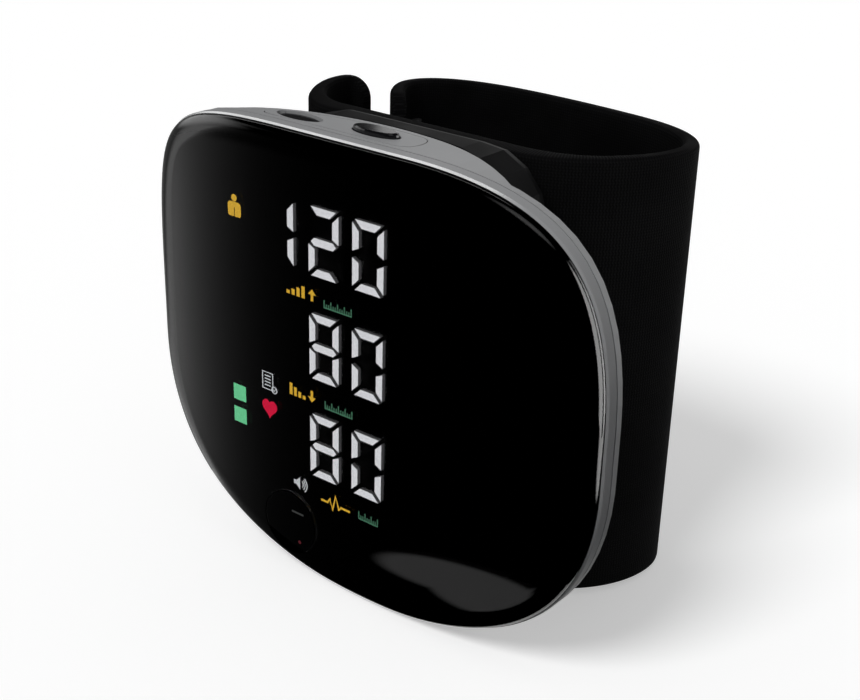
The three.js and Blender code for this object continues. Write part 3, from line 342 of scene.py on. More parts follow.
def colour(values, factor=1.0):
    """A colour with its alpha, made lighter or darker by a factor"""
    return (*(min(value * factor, 1.0) for value in values), 1.0)


def cloudy(shader, grain, first, last):
    """A value that drifts slowly from the first to the last over the surface"""
    low, high = 0.3, 0.7
    return shader.ramp(grain.outputs["Cloud"], low, high, first, last)


def bump(shader, surface, height, distance, strength=1.0):
    node = shader.add("Bump", {"Height": height, "Distance": distance, "Strength": strength})
    shader.link(node.outputs[0], surface, "Normal")


def grained(name, base, roughness, metallic=0.0, size=0.3 * MM, depth=0.01 * MM, spread=0.08, specular=0.5):
    """A moulded, painted or plated finish with fine grain and slow changes of tone"""
    drift = 0.1
    material, shader, surface = new_material(name, {"Metallic": metallic, "Specular IOR Level": specular})
    grain = shader.group("Fine Grain", {"Grain Size": size})
    tone = shader.blend(grain.outputs["Cloud"], colour(base, 1 - spread), colour(base, 1 + spread))
    shader.link(tone, surface, "Base Color")
    shader.link(cloudy(shader, grain, roughness * (1 - drift), roughness * (1 + drift)), surface, "Roughness")
    if depth:
        bump(shader, surface, grain.outputs["Grain"], depth)
    return material


def make_window(case):
    """Tinted window plastic, with faint swirls left by polishing and a matt wall in the button's hole"""
    matt, smoothest, roughest, wall_slack = 0.9, 0.012, 0.022, 0.02 * MM
    tint = case.window_tint
    settings = {"Base Color": (tint, tint, tint * 1.04, 1.0), "Transmission Weight": 1.0, "IOR": 1.58}
    material, shader, surface = new_material("window", settings)
    grain = shader.group("Fine Grain", {"Grain Size": 2 * MM, "Cloud Size": 20 * MM})
    rough = cloudy(shader, grain, smoothest, roughest)
    place = shader.axes()
    over = shader.minus(place[0], BUTTON_X)
    up = shader.minus(place[2], BUTTON_Z)
    reach = shader.plus(shader.times(over, over), shader.times(up, up))
    wall = (BUTTON_RADIUS + case.button_gap + wall_slack) ** 2
    cut_wall = shader.times(shader.below(reach, wall), matt)
    shader.link(shader.larger(rough, cut_wall), surface, "Roughness")
    return material


def make_bright_frame(case):
    """Satin paint, polished and plated on the narrow front edge along the top. The light plating colour there
    is painted highlight: it shows only where the highlight falls and fades downwards and to the right.
    """
    plating, gloss, smoothest, roughest, darker, depth_slack = 0.75, 0.22, 0.38, 0.44, 0.95, 1.02
    # Where the painted highlight on the frame's edge fades out towards the right
    highlight_fade_right, highlight_full_right = 27 * MM, 21 * MM
    material, shader, surface = new_material("bright_frame", {"Specular IOR Level": 0.06})
    grain = shader.group("Fine Grain", {"Grain Size": 0.12 * MM, "Cloud Size": 9 * MM})
    place = shader.axes()
    # Painted highlight: the bright plating colour shows only on the top front edge, fading downwards and to
    # the right, together with the real polish
    polish_and_highlight = shader.ramp(place[2], case.polish_and_highlight_low, case.polish_and_highlight_high)
    polish_and_highlight = shader.times(polish_and_highlight, shader.ramp(place[0], highlight_fade_right, highlight_full_right))
    polish_and_highlight = shader.times(shader.below(place[1], FACE + case.frame_fall * depth_slack), polish_and_highlight)
    satin = case.satin_colour
    wall = shader.blend(grain.outputs["Cloud"], colour(satin, darker), colour(satin))
    shader.link(shader.blend(polish_and_highlight, wall, colour(case.plating_highlight_colour)), surface, "Base Color")
    shader.link(shader.times(polish_and_highlight, plating), surface, "Metallic")
    rough = shader.minus(cloudy(shader, grain, smoothest, roughest), shader.times(polish_and_highlight, gloss))
    shader.link(rough, surface, "Roughness")
    bump(shader, surface, grain.outputs["Grain"], 0.002 * MM)
    return material


def lit_material(name, tint):
    """A dark plastic that shines. The tint is the share of its light that passes through the window."""
    settings = {"Base Color": (0.02, 0.02, 0.02, 1.0), "Roughness": 0.5, "Emission Strength": 1.0 / tint}
    return new_material(name, settings)


def make_lit_guide(display, tint):
    """Lit fronts and dim sides. What lies behind the mask stays dark."""
    aside, ahead, cool_shares, lightest = 0.6, 0.9, (0.94, 0.95, 0.96), 1.02
    material, shader, surface = lit_material("lit_guide", tint)
    normal = shader.add("TexCoord").outputs["Normal"]
    facing = shader.add("VectorMath", {0: normal, 1: (0.0, -1.0, 0.0)}, operation="DOT_PRODUCT")
    front = shader.ramp(facing.outputs["Value"], aside, ahead)
    grain = shader.group("Fine Grain", {"Grain Size": 0.5 * MM, "Cloud Size": 4 * MM})
    bright = [display.digit_light] * 3
    cool = [value * share for value, share in zip(bright, cool_shares)]
    full = shader.blend(grain.outputs["Cloud"], colour(cool), colour(bright, lightest))
    lit = shader.blend(front, colour([display.side_light] * 3), full)
    seen = shader.below(shader.axes()[1], MASK_FRONT)
    shader.link(shader.blend(seen, (0.0, 0.0, 0.0, 1.0), lit), surface, "Emission Color")
    return material


def make_sign_light(name, light, tint):
    """A small sign, lit a little unevenly from behind"""
    darkest, lightest = 0.88, 1.1
    material, shader, surface = lit_material(name, tint)
    grain = shader.group("Fine Grain", {"Grain Size": 0.4 * MM, "Cloud Size": 1.5 * MM})
    glow = shader.blend(grain.outputs["Cloud"], colour(light, darkest), colour(light, lightest))
    shader.link(glow, surface, "Emission Color")
    return material


def make_cuff_fabric(cuff):
    """Black knit with a soft sheen. Its colour is painted darker in the hollows of the knit and lighter on
    the tops of its loops, as painted shade of the knit's relief.
    """
    hollow_shade, top, cloud_edges, cloud_shares = 0.6, 1.5, (0.35, 0.65), (0.75, 1.2)
    hollow_rough, top_rough, thread_depth, relief = 0.92, 0.7, 0.05 * MM, 0.7
    material, shader, surface = new_material("cuff_fabric", {"Specular IOR Level": 0.02})
    place = shader.add("UVMap", uv_map="strap").outputs[0]
    knit = shader.group("Knit Rows", {"Strap Place": place, "Pitch": cuff.knit_pitch})
    # Painted shade: darker colour in the knit's hollows, lighter on the loops' tops
    tone = shader.blend(knit.outputs["Tops"], colour(cuff.colour, hollow_shade), colour(cuff.colour, top))
    cloud = shader.ramp(knit.outputs["Cloud"], *cloud_edges, *cloud_shares)
    cloud = shader.add("CombineXYZ", {0: cloud, 1: cloud, 2: cloud}).outputs[0]
    shaded = shader.add("VectorMath", {0: tone, 1: cloud}, operation="MULTIPLY").outputs[0]
    shader.link(shaded, surface, "Base Color")
    shader.link(shader.ramp(knit.outputs["Height"], -1.0, 1.0, hollow_rough, top_rough), surface, "Roughness")
    bump(shader, surface, knit.outputs["Height"], thread_depth, relief)
    return material


def make_hook_tape():
    """Rows of tiny hooks on black tape"""
    hooks_per_metre = 1400.0
    material, shader, surface = new_material("hook_tape", {"Roughness": 0.8})
    hooks = shader.add("TexVoronoi", {"Vector": shader.place(), "Scale": hooks_per_metre})
    tone = shader.blend(hooks.outputs["Distance"], (0.03, 0.03, 0.032, 1.0), (0.008, 0.008, 0.009, 1.0))
    shader.link(tone, surface, "Base Color")
    bump(shader, surface, hooks.outputs["Distance"], 0.15 * MM)
    return material


# The outline's joints as shares of the case's height, or of half its width, and its handles' shares
WAIST_SHARE, FOOT_SHARE = 0.471, 0.63
RIGHT_SHARE, RIGHT_RISE_SHARE = 0.571, 0.73
TOP_RIGHT_SHARE, TOP_RIGHT_REACH_SHARE = 0.174, 0.76
TOP_LEFT_SHARE, TOP_LEFT_REACH_SHARE = 0.347, 0.956
LEFT_SHARE, LEFT_RISE_SHARE = 0.6, 0.93
CURVE_POINTS, OUTLINE_STEPS = 65, 288


def case_outline():
    """The case's outline from its foot, to the right and round, with the outward directions"""
    half, high = CASE_WIDTH / 2, CASE_HEIGHT
    waist, low = high * WAIST_SHARE, half * FOOT_SHARE
    bend = waist * (1 - FOOT_SHARE)
    top_right, right = half * TOP_RIGHT_SHARE, high * RIGHT_SHARE
    top_left, left = -half * TOP_LEFT_SHARE, high * LEFT_SHARE
    curves = [
        [(0, 0), (low, 0), (half, bend), (half, waist)],
        [(half, right), (half, mix(right, high, RIGHT_RISE_SHARE)),
         (mix(top_right, half, TOP_RIGHT_REACH_SHARE), high), (top_right, high)],
        [(top_left, high), (mix(top_left, -half, TOP_LEFT_REACH_SHARE), high),
         (-half, mix(left, high, LEFT_RISE_SHARE)), (-half, left)],
        [(-half, waist), (-half, bend), (-low, 0), (0, 0)],
    ]
    line = []
    for curve in curves:
        line.extend(interpolate_bezier(*(Vector((x, z, 0)) for x, z in curve), CURVE_POINTS))
    return even_line(line, OUTLINE_STEPS)


class Line:
    """A line of points and the length up to each of them"""

    def __init__(self, points):
        self.points = points
        self.lengths = [0.0]
        for a, b in zip(points, points[1:]):
            self.lengths.append(self.lengths[-1] + (b - a).length)
        self.total = self.lengths[-1]

    def index(self, length):
        """The last point at or before a length from the start, but never the end point"""
        return min(bisect_right(self.lengths, length) - 1, len(self.lengths) - 2)

    def point(self, length):
        i = self.index(length)
        span = self.lengths[i + 1] - self.lengths[i] or 1.0
        return self.points[i].lerp(self.points[i + 1], (length - self.lengths[i]) / span)


def even_line(points, steps):
    """Evenly spaced points on a closed line of points, with the direction to its right at each"""
    flat = [Vector((p.x, p.y)) for p in points]
    line = Line(flat + flat[:1])
    found = [line.point(line.total * step / steps) for step in range(steps)]
    normals = []
    for before, after in zip(found[-1:] + found[:-1], found[1:] + found[:1]):
        ahead = (after - before).normalized()
        normals.append(Vector((ahead.y, -ahead.x)))
    return found, normals


def loft(rings, closed_profile=False):
    """Faces between equal rings of points. A closed profile joins the last ring to the first."""
    count = len(rings[0])
    vertices = [p for ring in rings for p in ring]
    faces = []
    for row in range(len(rings) if closed_profile else len(rings) - 1):
        a, b = row * count, (row + 1) % len(rings) * count
        for i in range(count):
            j = (i + 1) % count
            faces.append((a + i, b + i, b + j, a + j))
    return vertices, faces


def outline_ring(outline, inset, depth):
    """The case's outline, moved in by an inset, at a depth behind the face"""
    return [case_point(p.x - n.x * inset, depth, p.y - n.y * inset) for p, n in zip(*outline)]


def build_frame(case):
    """The front frame: the window's seat, a narrow polished edge, the outer wall and a stepped ledge"""
    step_inset, step_depth, crease = 1.6 * MM, 1.4 * MM, math.radians(20)
    outline = case_outline()
    back, seat = BEZEL_HIGH.y - FACE, GASKET_BACK - FACE
    ledge = case.frame_seat + case.frame_ledge
    profile = [
        (case.frame_seat, 0.0), (case.frame_edge, 0.0), (0.0, case.frame_fall), (0.0, back),
        (step_inset, back), (step_inset, step_depth), (ledge, step_depth), (ledge, seat),
        (case.frame_seat, seat),
    ]
    rings = [outline_ring(outline, inset, depth) for inset, depth in profile]
    piece = mesh_object("frame", *loft(rings, closed_profile=True), "case")
    piece.data.set_sharp_from_angle(angle=crease)
    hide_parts("front_bezel")
    return piece


def window_profile(case):
    """Insets and depths of the window's rings, from its flat front round the rim into the hollow back"""
    flat_margin, bevel_share, round_steps = 0.3 * MM, 0.1, 14
    edge, rise, width = case.lens_edge, case.lens_rise, case.lens_round
    skirt = LENS_HIGH.y - FACE
    profile = [(edge + width + flat_margin, -rise)]
    for step in range(round_steps + 1):
        angle = math.pi / 2 * step / round_steps
        profile.append((edge + width * (1 - math.sin(angle)), -rise * math.cos(angle)))
    rim = edge + case.lens_rim
    profile += [
        (edge, skirt * (1 - bevel_share)), (edge + skirt * bevel_share, skirt),
        (rim, skirt), (rim, skirt - case.lens_pocket),
    ]
    return profile


def build_window(case):
    """The window as one closed body: rounded border, rim, hollow back and the button's hole"""
    chamfer, hole_steps, crease = 0.12 * MM, 96, math.radians(32)
    outline = case_outline()
    profile = window_profile(case)
    vertices, faces = loft([outline_ring(outline, inset, depth) for inset, depth in profile])
    back = len(vertices) - OUTLINE_STEPS
    radius, front, pocket = BUTTON_RADIUS + case.button_gap, profile[0][1], profile[-1][1]
    hole = len(vertices)
    for reach, depth in ((radius + chamfer, front), (radius, front + chamfer), (radius, pocket)):
        vertices.extend(case_point(x, depth, z) for x, z in disc(BUTTON_X, BUTTON_Z, reach, hole_steps))
    for a in (hole, hole + hole_steps):
        for i in range(hole_steps):
            j = (i + 1) % hole_steps
            faces.append((a + i, a + j, a + hole_steps + j, a + hole_steps + i))
    for outer, inner, is_front in ((0, hole, True), (back, hole + 2 * hole_steps, False)):
        rim = range(outer, outer + OUTLINE_STEPS)
        faces.extend(plane_with_hole(vertices, rim, range(inner, inner + hole_steps), is_front))
    piece = mesh_object("lens", vertices, faces, "case")
    piece.data.set_sharp_from_angle(angle=crease)
    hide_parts("front_lens")
    return piece


def plane_with_hole(vertices, outer, inner, front):
    """Two halves of a flat face round a hole, joined above and below it"""
    outer, inner = list(outer), list(inner)
    centre = sum((vertices[i] for i in inner), Vector()) / len(inner)

    def nearest(indices, sign):
        """The point that is closest to straight above or below the hole's centre"""
        side = [i for i in indices if (vertices[i].z - centre.z) * sign > 0]
        return min(side, key=lambda i: abs(vertices[i].x - centre.x))

    def stretch(ring, start, end):
        """The points of a ring from one of them on to another"""
        first = ring.index(start)
        turned = ring[first:] + ring[:first]
        return turned[:turned.index(end) + 1]

    top, foot = nearest(outer, 1), nearest(outer, -1)
    hole_top, hole_foot = nearest(inner, 1), nearest(inner, -1)
    inner.reverse()
    right = stretch(outer, foot, top) + stretch(inner, hole_top, hole_foot)
    left = stretch(outer, top, foot) + stretch(inner, hole_foot, hole_top)
    return [tuple(half if front else reversed(half)) for half in (right, left)]


def disc(x, z, radius, steps=28):
    angles = [math.tau * i / steps for i in range(steps)]
    return [(x + radius * math.cos(a), z + radius * math.sin(a)) for a in angles]


def bar(x, z, width, height):
    return [(x, z), (x + width, z), (x + width, z + height), (x, z + height)]


def bar_row(left, foot, width, fill, heights):
    """Upright bars of the given heights from the left, each filling a share of its place"""
    pitch = width / len(heights)
    return [bar(left + pitch * i, foot, pitch * fill, height) for i, height in enumerate(heights)]


def ribbon(points, width, closed=False):
    """Strokes of even width along a line of points, one four-sided shape for each step"""
    count = len(points)
    sides = []
    for i, point in enumerate(points):
        before = points[i - 1] if closed or i else point
        after = points[(i + 1) % count] if closed or i < count - 1 else point
        ahead = Vector((after[0] - before[0], after[1] - before[1])).normalized()
        across = Vector((-ahead.y, ahead.x)) * width / 2
        sides.append(((point[0] + across.x, point[1] + across.y), (point[0] - across.x, point[1] - across.y)))
    pairs = zip(sides, sides[1:] + sides[:1] if closed else sides[1:])
    return [[a[1], b[1], b[0], a[0]] for a, b in pairs]


def arc(x, z, radius, start, end, steps=12):
    angles = [math.radians(mix(start, end, i / steps)) for i in range(steps + 1)]
    return [(x + radius * math.cos(a), z + radius * math.sin(a)) for a in angles]


def sign(name, shapes, material, slot, body, front, thickness):
    """Thin lit shapes, given in millimetres of the case's frame, from a front plane backwards"""
    vertices, faces = [], []
    for shape in shapes:
        start, count = len(vertices), len(shape)
        for depth in (front, front + thickness):
            vertices.extend(Vector((x * MM, depth, z * MM)) for x, z in shape)
        area = sum(a[0] * b[1] - b[0] * a[1] for a, b in zip(shape, shape[1:] + shape[:1]))
        loop = list(range(start, start + count))
        if area < 0:
            loop.reverse()
        faces.append(tuple(loop))
        faces.append(tuple(i + count for i in reversed(loop)))
        for a, b in zip(loop, loop[1:] + loop[:1]):
            faces.append((b, a, a + count, b + count))
    piece = mesh_object(name, vertices, faces, body, smooth=False)
    paint(piece, material)


def pressure_mark(left, width, arrow_left, foot, height, up):
    """Four upright bars that rise or fall, and an arrow beside them that points the same way"""
    shares, fill, arrow_width, head_share, stem_share = [0.3, 0.5, 0.75, 1.0], 0.62, 1.5, 0.45, 0.3
    if not up:
        shares.reverse()
    bars = bar_row(left, foot, width, fill, [height * share for share in shares])
    tip, base = (foot + height, foot) if up else (foot, foot + height)
    neck = tip - height * head_share if up else tip + height * head_share
    middle, stem = arrow_left + arrow_width / 2, arrow_width * stem_share
    head = [(arrow_left, neck), (arrow_left + arrow_width, neck), (middle, tip)]
    return bars + [head, bar(middle - stem / 2, min(neck, base), stem, abs(neck - base))]


def unit_ticks(left, foot, width, height, count):
    """A small scale: ticks on a thin line, every third one taller"""
    low_share, fill, line_drop, line_height = 0.55, 0.36, 0.04, 0.16
    heights = [height * (low_share if i % 3 else 1.0) for i in range(count)]
    line = bar(left, foot - line_drop, width - width / count * (1 - fill), line_height)
    return bar_row(left, foot, width, fill, heights) + [line]


def heart(x, z, size):
    """A full heart about a point"""
    steps, unit_height = 36, 28
    shape = []
    for step in range(steps):
        angle = math.tau * step / steps
        over = math.sin(angle) ** 3
        up = 13 * math.cos(angle) - 4 * math.cos(2 * angle) - 1.5 * math.cos(3 * angle) - math.cos(4 * angle)
        shape.append((x + over * size / 2, z + up * size / unit_height))
    return [shape]


def user_figure(x, foot):
    """A head over a body with a narrow slit, standing on a foot"""
    half, high, slit, corner = 1.3, 2.2, 0.09, 0.45
    head_radius, head_rise, slit_share, flare = 0.54, 0.62, 0.62, 0.05
    side = [
        (slit, 0.0), (half - corner / 2, 0.0), (half - flare, corner / 2), (half, corner),
        (half, high - corner), (half - corner * 0.3, high - corner * 0.3),
        (half - corner, high), (slit, high),
    ]
    right = [(x + a, foot + b) for a, b in side]
    left = [(x - a, foot + b) for a, b in reversed(side)]
    bridge = bar(x - slit * 1.5, foot + high * slit_share, slit * 3, high * (1 - slit_share))
    return [disc(x, foot + high + head_rise, head_radius), right, left, bridge]


def notes_sign(left, foot):
    """A sheet with four lines of writing, and a ring with a tick at its corner"""
    width, height, stroke, fine = 2.1, 2.75, 0.2, 0.16
    line_inset, line_foot, line_pitch, line_width, line_height = 0.45, 0.55, 0.52, 1.2, 0.17
    ring_x, ring_z, ring_radius, tick_width = left + 2.4, foot + 0.2, 0.52, 0.14
    right, top = left + width, foot + height
    sheet = ribbon([(left, foot), (left, top), (right, top), (right, foot)], stroke, True)
    rows = [foot + line_foot + line_pitch * i for i in range(4)]
    lines = [bar(left + line_inset, row, line_width, line_height) for row in rows]
    ring = ribbon(arc(ring_x, ring_z, ring_radius, 0, 360, 18)[:-1], fine, True)
    tick = [(ring_x - 0.25, ring_z), (ring_x - 0.05, ring_z - 0.2), (ring_x + 0.3, ring_z + 0.25)]
    return sheet + lines + ring + ribbon(tick, tick_width)


def sound_sign(x, z):
    """A loudspeaker's cone and three arcs of sound, about the arcs' centre"""
    back, neck, mouth, box_half, mouth_half = x - 1.2, x - 0.7, x + 0.05, 0.35, 1.05
    stroke, spread = 0.16, 48
    shapes = [[
        (back, z - box_half), (neck, z - box_half), (mouth, z - mouth_half),
        (mouth, z + mouth_half), (neck, z + box_half), (back, z + box_half),
    ]]
    for radius in (0.7, 1.1, 1.5):
        shapes += ribbon(arc(x, z, radius, -spread, spread), stroke)
    return shapes


def display_signs():
    """Name, light and shapes of each small sign, in millimetres of the case's frame"""
    wave = [
        (-7.6, 13.9), (-6.3, 13.9), (-5.9, 14.7), (-5.35, 12.9), (-4.7, 15.5), (-4.05, 13.3), (-3.7, 13.9),
        (-1.9, 13.9),
    ]
    squares = [bar(x=-25.7, z=24.95, width=2.6, height=2.6), bar(x=-25.7, z=21.15, width=2.6, height=2.55)]
    return [
        ("upper_pressure_mark", "amber",
         pressure_mark(left=-14.1, width=3.9, arrow_left=-9.9, foot=45.55, height=1.8, up=True)),
        ("lower_pressure_mark", "amber",
         pressure_mark(left=-13.8, width=3.5, arrow_left=-10.1, foot=29.5, height=1.9, up=False)),
        ("pulse_mark", "amber", ribbon(wave, width=0.36)),
        ("upper_unit_mark", "dim_green", unit_ticks(left=-6.9, foot=45.2, width=5.5, height=1.15, count=13)),
        ("lower_unit_mark", "dim_green", unit_ticks(left=-6.8, foot=29.4, width=5.6, height=1.2, count=13)),
        ("rate_unit_mark", "dim_green", unit_ticks(left=-0.2, foot=13.5, width=4.0, height=1.25, count=10)),
        ("user_mark", "amber", user_figure(x=-24.35, foot=54.65)),
        ("level_marks", "green", squares),
        ("pulse_sign", "red", heart(x=-18.05, z=25.75, size=3.1)),
        ("notes_sign", "white", notes_sign(left=-19.4, foot=28.8)),
        ("sound_sign", "white", sound_sign(x=-12.0, z=15.0)),
    ]


class MONITOR_OT_finishes(bpy.types.Operator):
    """Builds the shader groups that the finishes share"""

    bl_idname = "monitor.finishes"
    bl_label = "Shared Finishes"

    def execute(self, context):
        make_grain_group()
        make_knit_group()
        return {"FINISHED"}


class MONITOR_OT_window(bpy.types.Operator):
    """Builds the black window and dresses the start button and its two marks"""

    bl_idname = "monitor.window"
    bl_label = "Window and Start Button"

    def execute(self, context):
        mark_lift, mark_thickness, dash_share = 0.005 * MM, 0.01 * MM, 0.05
        case = context.scene.monitor_case
        paint(build_window(case), make_window(case))
        gloss = grained("start_button_gloss", (0.0005, 0.0005, 0.0006), 0.04, depth=0, specular=0.4)
        paint("start_button", gloss)
        dash = colour(context.scene.monitor_display.white, dash_share)
        marks = (
            ("start_mark", bar(x=-12.3, z=10.65, width=2.4, height=0.32), "button_dash", dash[:3]),
            ("start_light", disc(x=-10.75, z=5.8, radius=0.3), "button_light", (0.06, 0.0, 0.004)),
        )
        for name, shape, finish, light in marks:
            material = make_sign_light(finish, light, 1.0)
            sign(name, [shape], material, "key_gloss", "start", BUTTON_LOW.y - mark_lift, mark_thickness)
        return {"FINISHED"}


class MONITOR_OT_display(bpy.types.Operator):
    """Dresses the lit digits, the mask and the small signs of the display"""

    bl_idname = "monitor.display"
    bl_label = "Display"

    def execute(self, context):
        lift, thickness = 0.02 * MM, 0.04 * MM
        display = context.scene.monitor_display
        tint = context.scene.monitor_case.window_tint
        paint("light_guide", make_lit_guide(display, tint))
        mask = grained("mask_black", (0.003, 0.003, 0.003), 0.9, depth=0, specular=0.0)
        paint("display_mask", mask)
        paint("lens_gasket", mask)
        lights = {}
        for tone in ("amber", "green", "dim_green", "red", "white"):
            lights[tone] = make_sign_light(tone + "_light", getattr(display, tone), tint)
        for name, tone, shapes in display_signs():
            sign(name, shapes, lights[tone], "lit_guide", "case", MASK_FRONT - lift - thickness, thickness)
        return {"FINISHED"}


class MONITOR_OT_case(bpy.types.Operator):
    """Dresses the silver frame, the satin housing, the keys and the rear pod"""

    bl_idname = "monitor.case"
    bl_label = "Case and Keys"

    def execute(self, context):
        case = context.scene.monitor_case
        paint(build_frame(case), make_bright_frame(case))
        screws = [f"{kind}_screw_{index}" for kind in ("cover", "board") for index in range(1, 5)]
        paint_all(
            grained("satin_shell", case.satin_colour, 0.42, size=0.14 * MM, depth=0.003 * MM, spread=0.03,
                    specular=0.2),
            ("rear_housing", "button_plate"))
        paint_all(
            grained("black_shell", (0.002, 0.002, 0.0022), 0.5, size=0.25 * MM, depth=0.012 * MM,
                    specular=0.05),
            ("back_cover", "strap_plate"))
        paint_all(grained("key_gloss", (0.006, 0.006, 0.007), 0.12, depth=0), ("memory_key", "user_key"))
        paint_all(
            grained("screw_steel", (0.6, 0.6, 0.62), 0.3, 1.0, size=0.2 * MM, depth=0.004 * MM),
            (*screws, "charging_socket"))
        return {"FINISHED"}


class MONITOR_OT_inside(bpy.types.Operator):
    """Dresses the boards, the pump, the air parts and the cell inside the case"""

    bl_idname = "monitor.inside"
    bl_label = "Inside Parts"

    def execute(self, context):
        spacers = [f"board_spacer_{index}" for index in range(1, 5)]
        paint_all(
            grained("board_green", (0.015, 0.09, 0.045), 0.4, size=0.8 * MM, spread=0.2),
            ("display_board", "main_board", "key_board", "charging_board"))
        paint_all(
            grained("chip_black", (0.012, 0.012, 0.013), 0.45, size=0.2 * MM),
            ("start_switch", "controller_chip", "memory_chip", "memory_switch", "user_switch",
             "pressure_sensor"))
        paint_all(
            grained("module_cream", (0.55, 0.55, 0.5), 0.5),
            ("led_module", "board_connector", "cuff_stiffener", *spacers))
        paint_all(
            grained("cell_foil", (0.55, 0.57, 0.6), 0.3, 0.8, size=0.6 * MM, depth=0.03 * MM),
            ("battery_cell",))
        paint_all(
            grained("black_rubber", (0.015, 0.015, 0.015), 0.8, depth=0.02 * MM),
            ("cell_pad", "pump_sleeve", "air_bladder"))
        paint_all(
            grained("air_silicone", (0.62, 0.6, 0.55), 0.45, size=0.5 * MM), ("air_tube", "nozzle_seal"))
        paint_all(
            grained("pump_plastic", (0.05, 0.052, 0.055), 0.5), ("pump_head", "air_manifold", "air_nozzle"))
        paint_all(
            grained("can_steel", (0.55, 0.55, 0.56), 0.35, 1.0, size=0.2 * MM, depth=0.004 * MM),
            ("pump_motor", "air_valve", "speaker"))
        return {"FINISHED"}


# The cuff's middle line in shares of its width and depth: its start, then two handles and an end per curve
CUFF_WIDTH, CUFF_DEPTH = 62.7 * MM, 30.1 * MM
CUFF_LINE_SHARES = [
    (-0.445, 0.522),
    (-0.492, 0.525), (-0.504, 0.505), (-0.504, 0.42),
    (-0.502, 0.251), (-0.42, 0), (-0.319, 0),
    (-0.149, 0), (0.021, 0), (0.191, 0),
    (0.335, 0), (0.457, 0.253), (0.457, 0.557),
    (0.457, 0.777), (0.343, 0.926), (0.223, 0.956),
    (0.104, 0.986), (-0.027, 1.002), (-0.139, 0.99),
    (-0.255, 0.976), (-0.386, 0.902), (-0.389, 0.709),
    (-0.389, 0.621), (-0.341, 0.498), (-0.292, 0.415),
]


class CuffLine(Line):
    """The cuff's middle line seen from above, from the short end's tip to the long end's tip"""

    def __init__(self, cuff):
        curve_points = 120
        self.cuff = cuff
        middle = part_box("strap_plate")[1].y + cuff.pad_thickness / 2
        places = [Vector((x * CUFF_WIDTH, middle + depth * CUFF_DEPTH, 0.0)) for x, depth in CUFF_LINE_SHARES]
        points, ends = [], []
        for start in range(0, len(places) - 1, 3):
            points.extend(interpolate_bezier(*places[start:start + 4], curve_points))
            ends.append(len(points) - 1)
        super().__init__(points)
        joints = [self.lengths[end] for end in ends]
        self.near_start, self.near_end, self.far_start = joints[1], joints[2], joints[4]
        self.fold = (joints[2] + joints[3]) / 2

    def place(self, length):
        """The point on the line and the direction to its left, at a length from its start"""
        reach = 6
        length = min(max(length, 0.0), self.total)
        i = self.index(length)
        ahead = self.points[min(i + 1 + reach, len(self.points) - 1)] - self.points[max(i - reach, 0)]
        ahead.normalize()
        return self.point(length), Vector((-ahead.y, ahead.x, 0.0))

    def half_thickness(self, length):
        thin, thick = self.cuff.thickness / 2, self.cuff.pad_thickness / 2
        away = max(self.near_start - length, length - self.near_end, 0.0) / (self.fold - self.near_end)
        return mix(thick, thin, smooth_share(away))

    def rise(self, length):
        along = (length - self.fold) / (self.far_start - self.fold)
        return self.cuff.rise * (1 - smooth_share(along))


def strap_section(half, low, high, radius, steps=4, rows=22):
    """The strap's upright section, from its outer foot: pairs of offset and height"""
    section = []
    corners = [
        (radius - half, low + radius, 180, 270),
        (half - radius, low + radius, 270, 360),
        (half - radius, high - radius, 0, 90),
        (radius - half, high - radius, 90, 180),
    ]
    for index, (offset, height, start, end) in enumerate(corners):
        section.extend(arc(offset, height, radius, start, end, steps))
        if index in (1, 3):
            side, base = section[-1]
            goal = high - radius if index == 1 else low + radius
            section.extend((side, mix(base, goal, row / rows)) for row in range(1, rows))
    return section


def strap_lengths(cuff, start, end, tip):
    """Where the strap's sections stand: evenly, and close together on the rounded corners of the tip"""
    pitch, fewest, tip_steps = 0.6 * MM, 8, 10
    count = max(int((end - start) / pitch), fewest)
    lengths = [mix(start, end, i / count) for i in range(count + 1)]
    if tip is None:
        return lengths
    inwards = cuff.tip_radius if tip == start else -cuff.tip_radius
    close = [tip + inwards * (1 - math.cos(math.pi / 2 * i / tip_steps)) for i in range(tip_steps + 1)]
    return sorted(set([length for length in lengths if abs(length - tip) > cuff.tip_radius] + close))


def build_strap(name, line, start, end, tip, body):
    """A length of the strap. Its corners are rounded at the tip, which is its start, its end or None."""
    tip_rounding, widest, crease = 0.6, 0.98, math.radians(50)
    cuff = line.cuff
    radius, edge = cuff.tip_radius, cuff.edge_radius
    rings, places = [], []
    for length in strap_lengths(cuff, start, end, tip):
        middle, inwards = line.place(length)
        half = line.half_thickness(length)
        drop = 0.0
        if tip is not None:
            away = abs(length - tip)
            short = radius - min(away, radius)
            drop = radius - math.sqrt(max(radius ** 2 - short ** 2, 0.0))
            near = min(away / edge, 1.0)
            half -= edge * (1 - math.sqrt(max(1 - (1 - near) ** 2, 0.0))) * tip_rounding
        low = line.rise(length) + drop
        high = low + cuff.height - 2 * drop
        ring = []
        for offset, height in strap_section(half, low, high, min(edge, half * widest)):
            point = middle + inwards * offset
            ring.append(Vector((point.x, point.y, height)))
            places.append((length, height))
        rings.append(ring)
    vertices, faces = loft(rings)
    size = len(rings[0])
    if tip == start:
        faces.append(tuple(range(size)))
    if tip == end:
        faces.append(tuple(reversed(range(len(vertices) - size, len(vertices)))))
    piece = mesh_object(name, vertices, [tuple(reversed(face)) for face in faces], body)
    layer = piece.data.uv_layers.new(name="strap")
    for loop in piece.data.loops:
        layer.data[loop.index].uv = places[loop.vertex_index]
    piece.data.set_sharp_from_angle(angle=crease)
    return piece


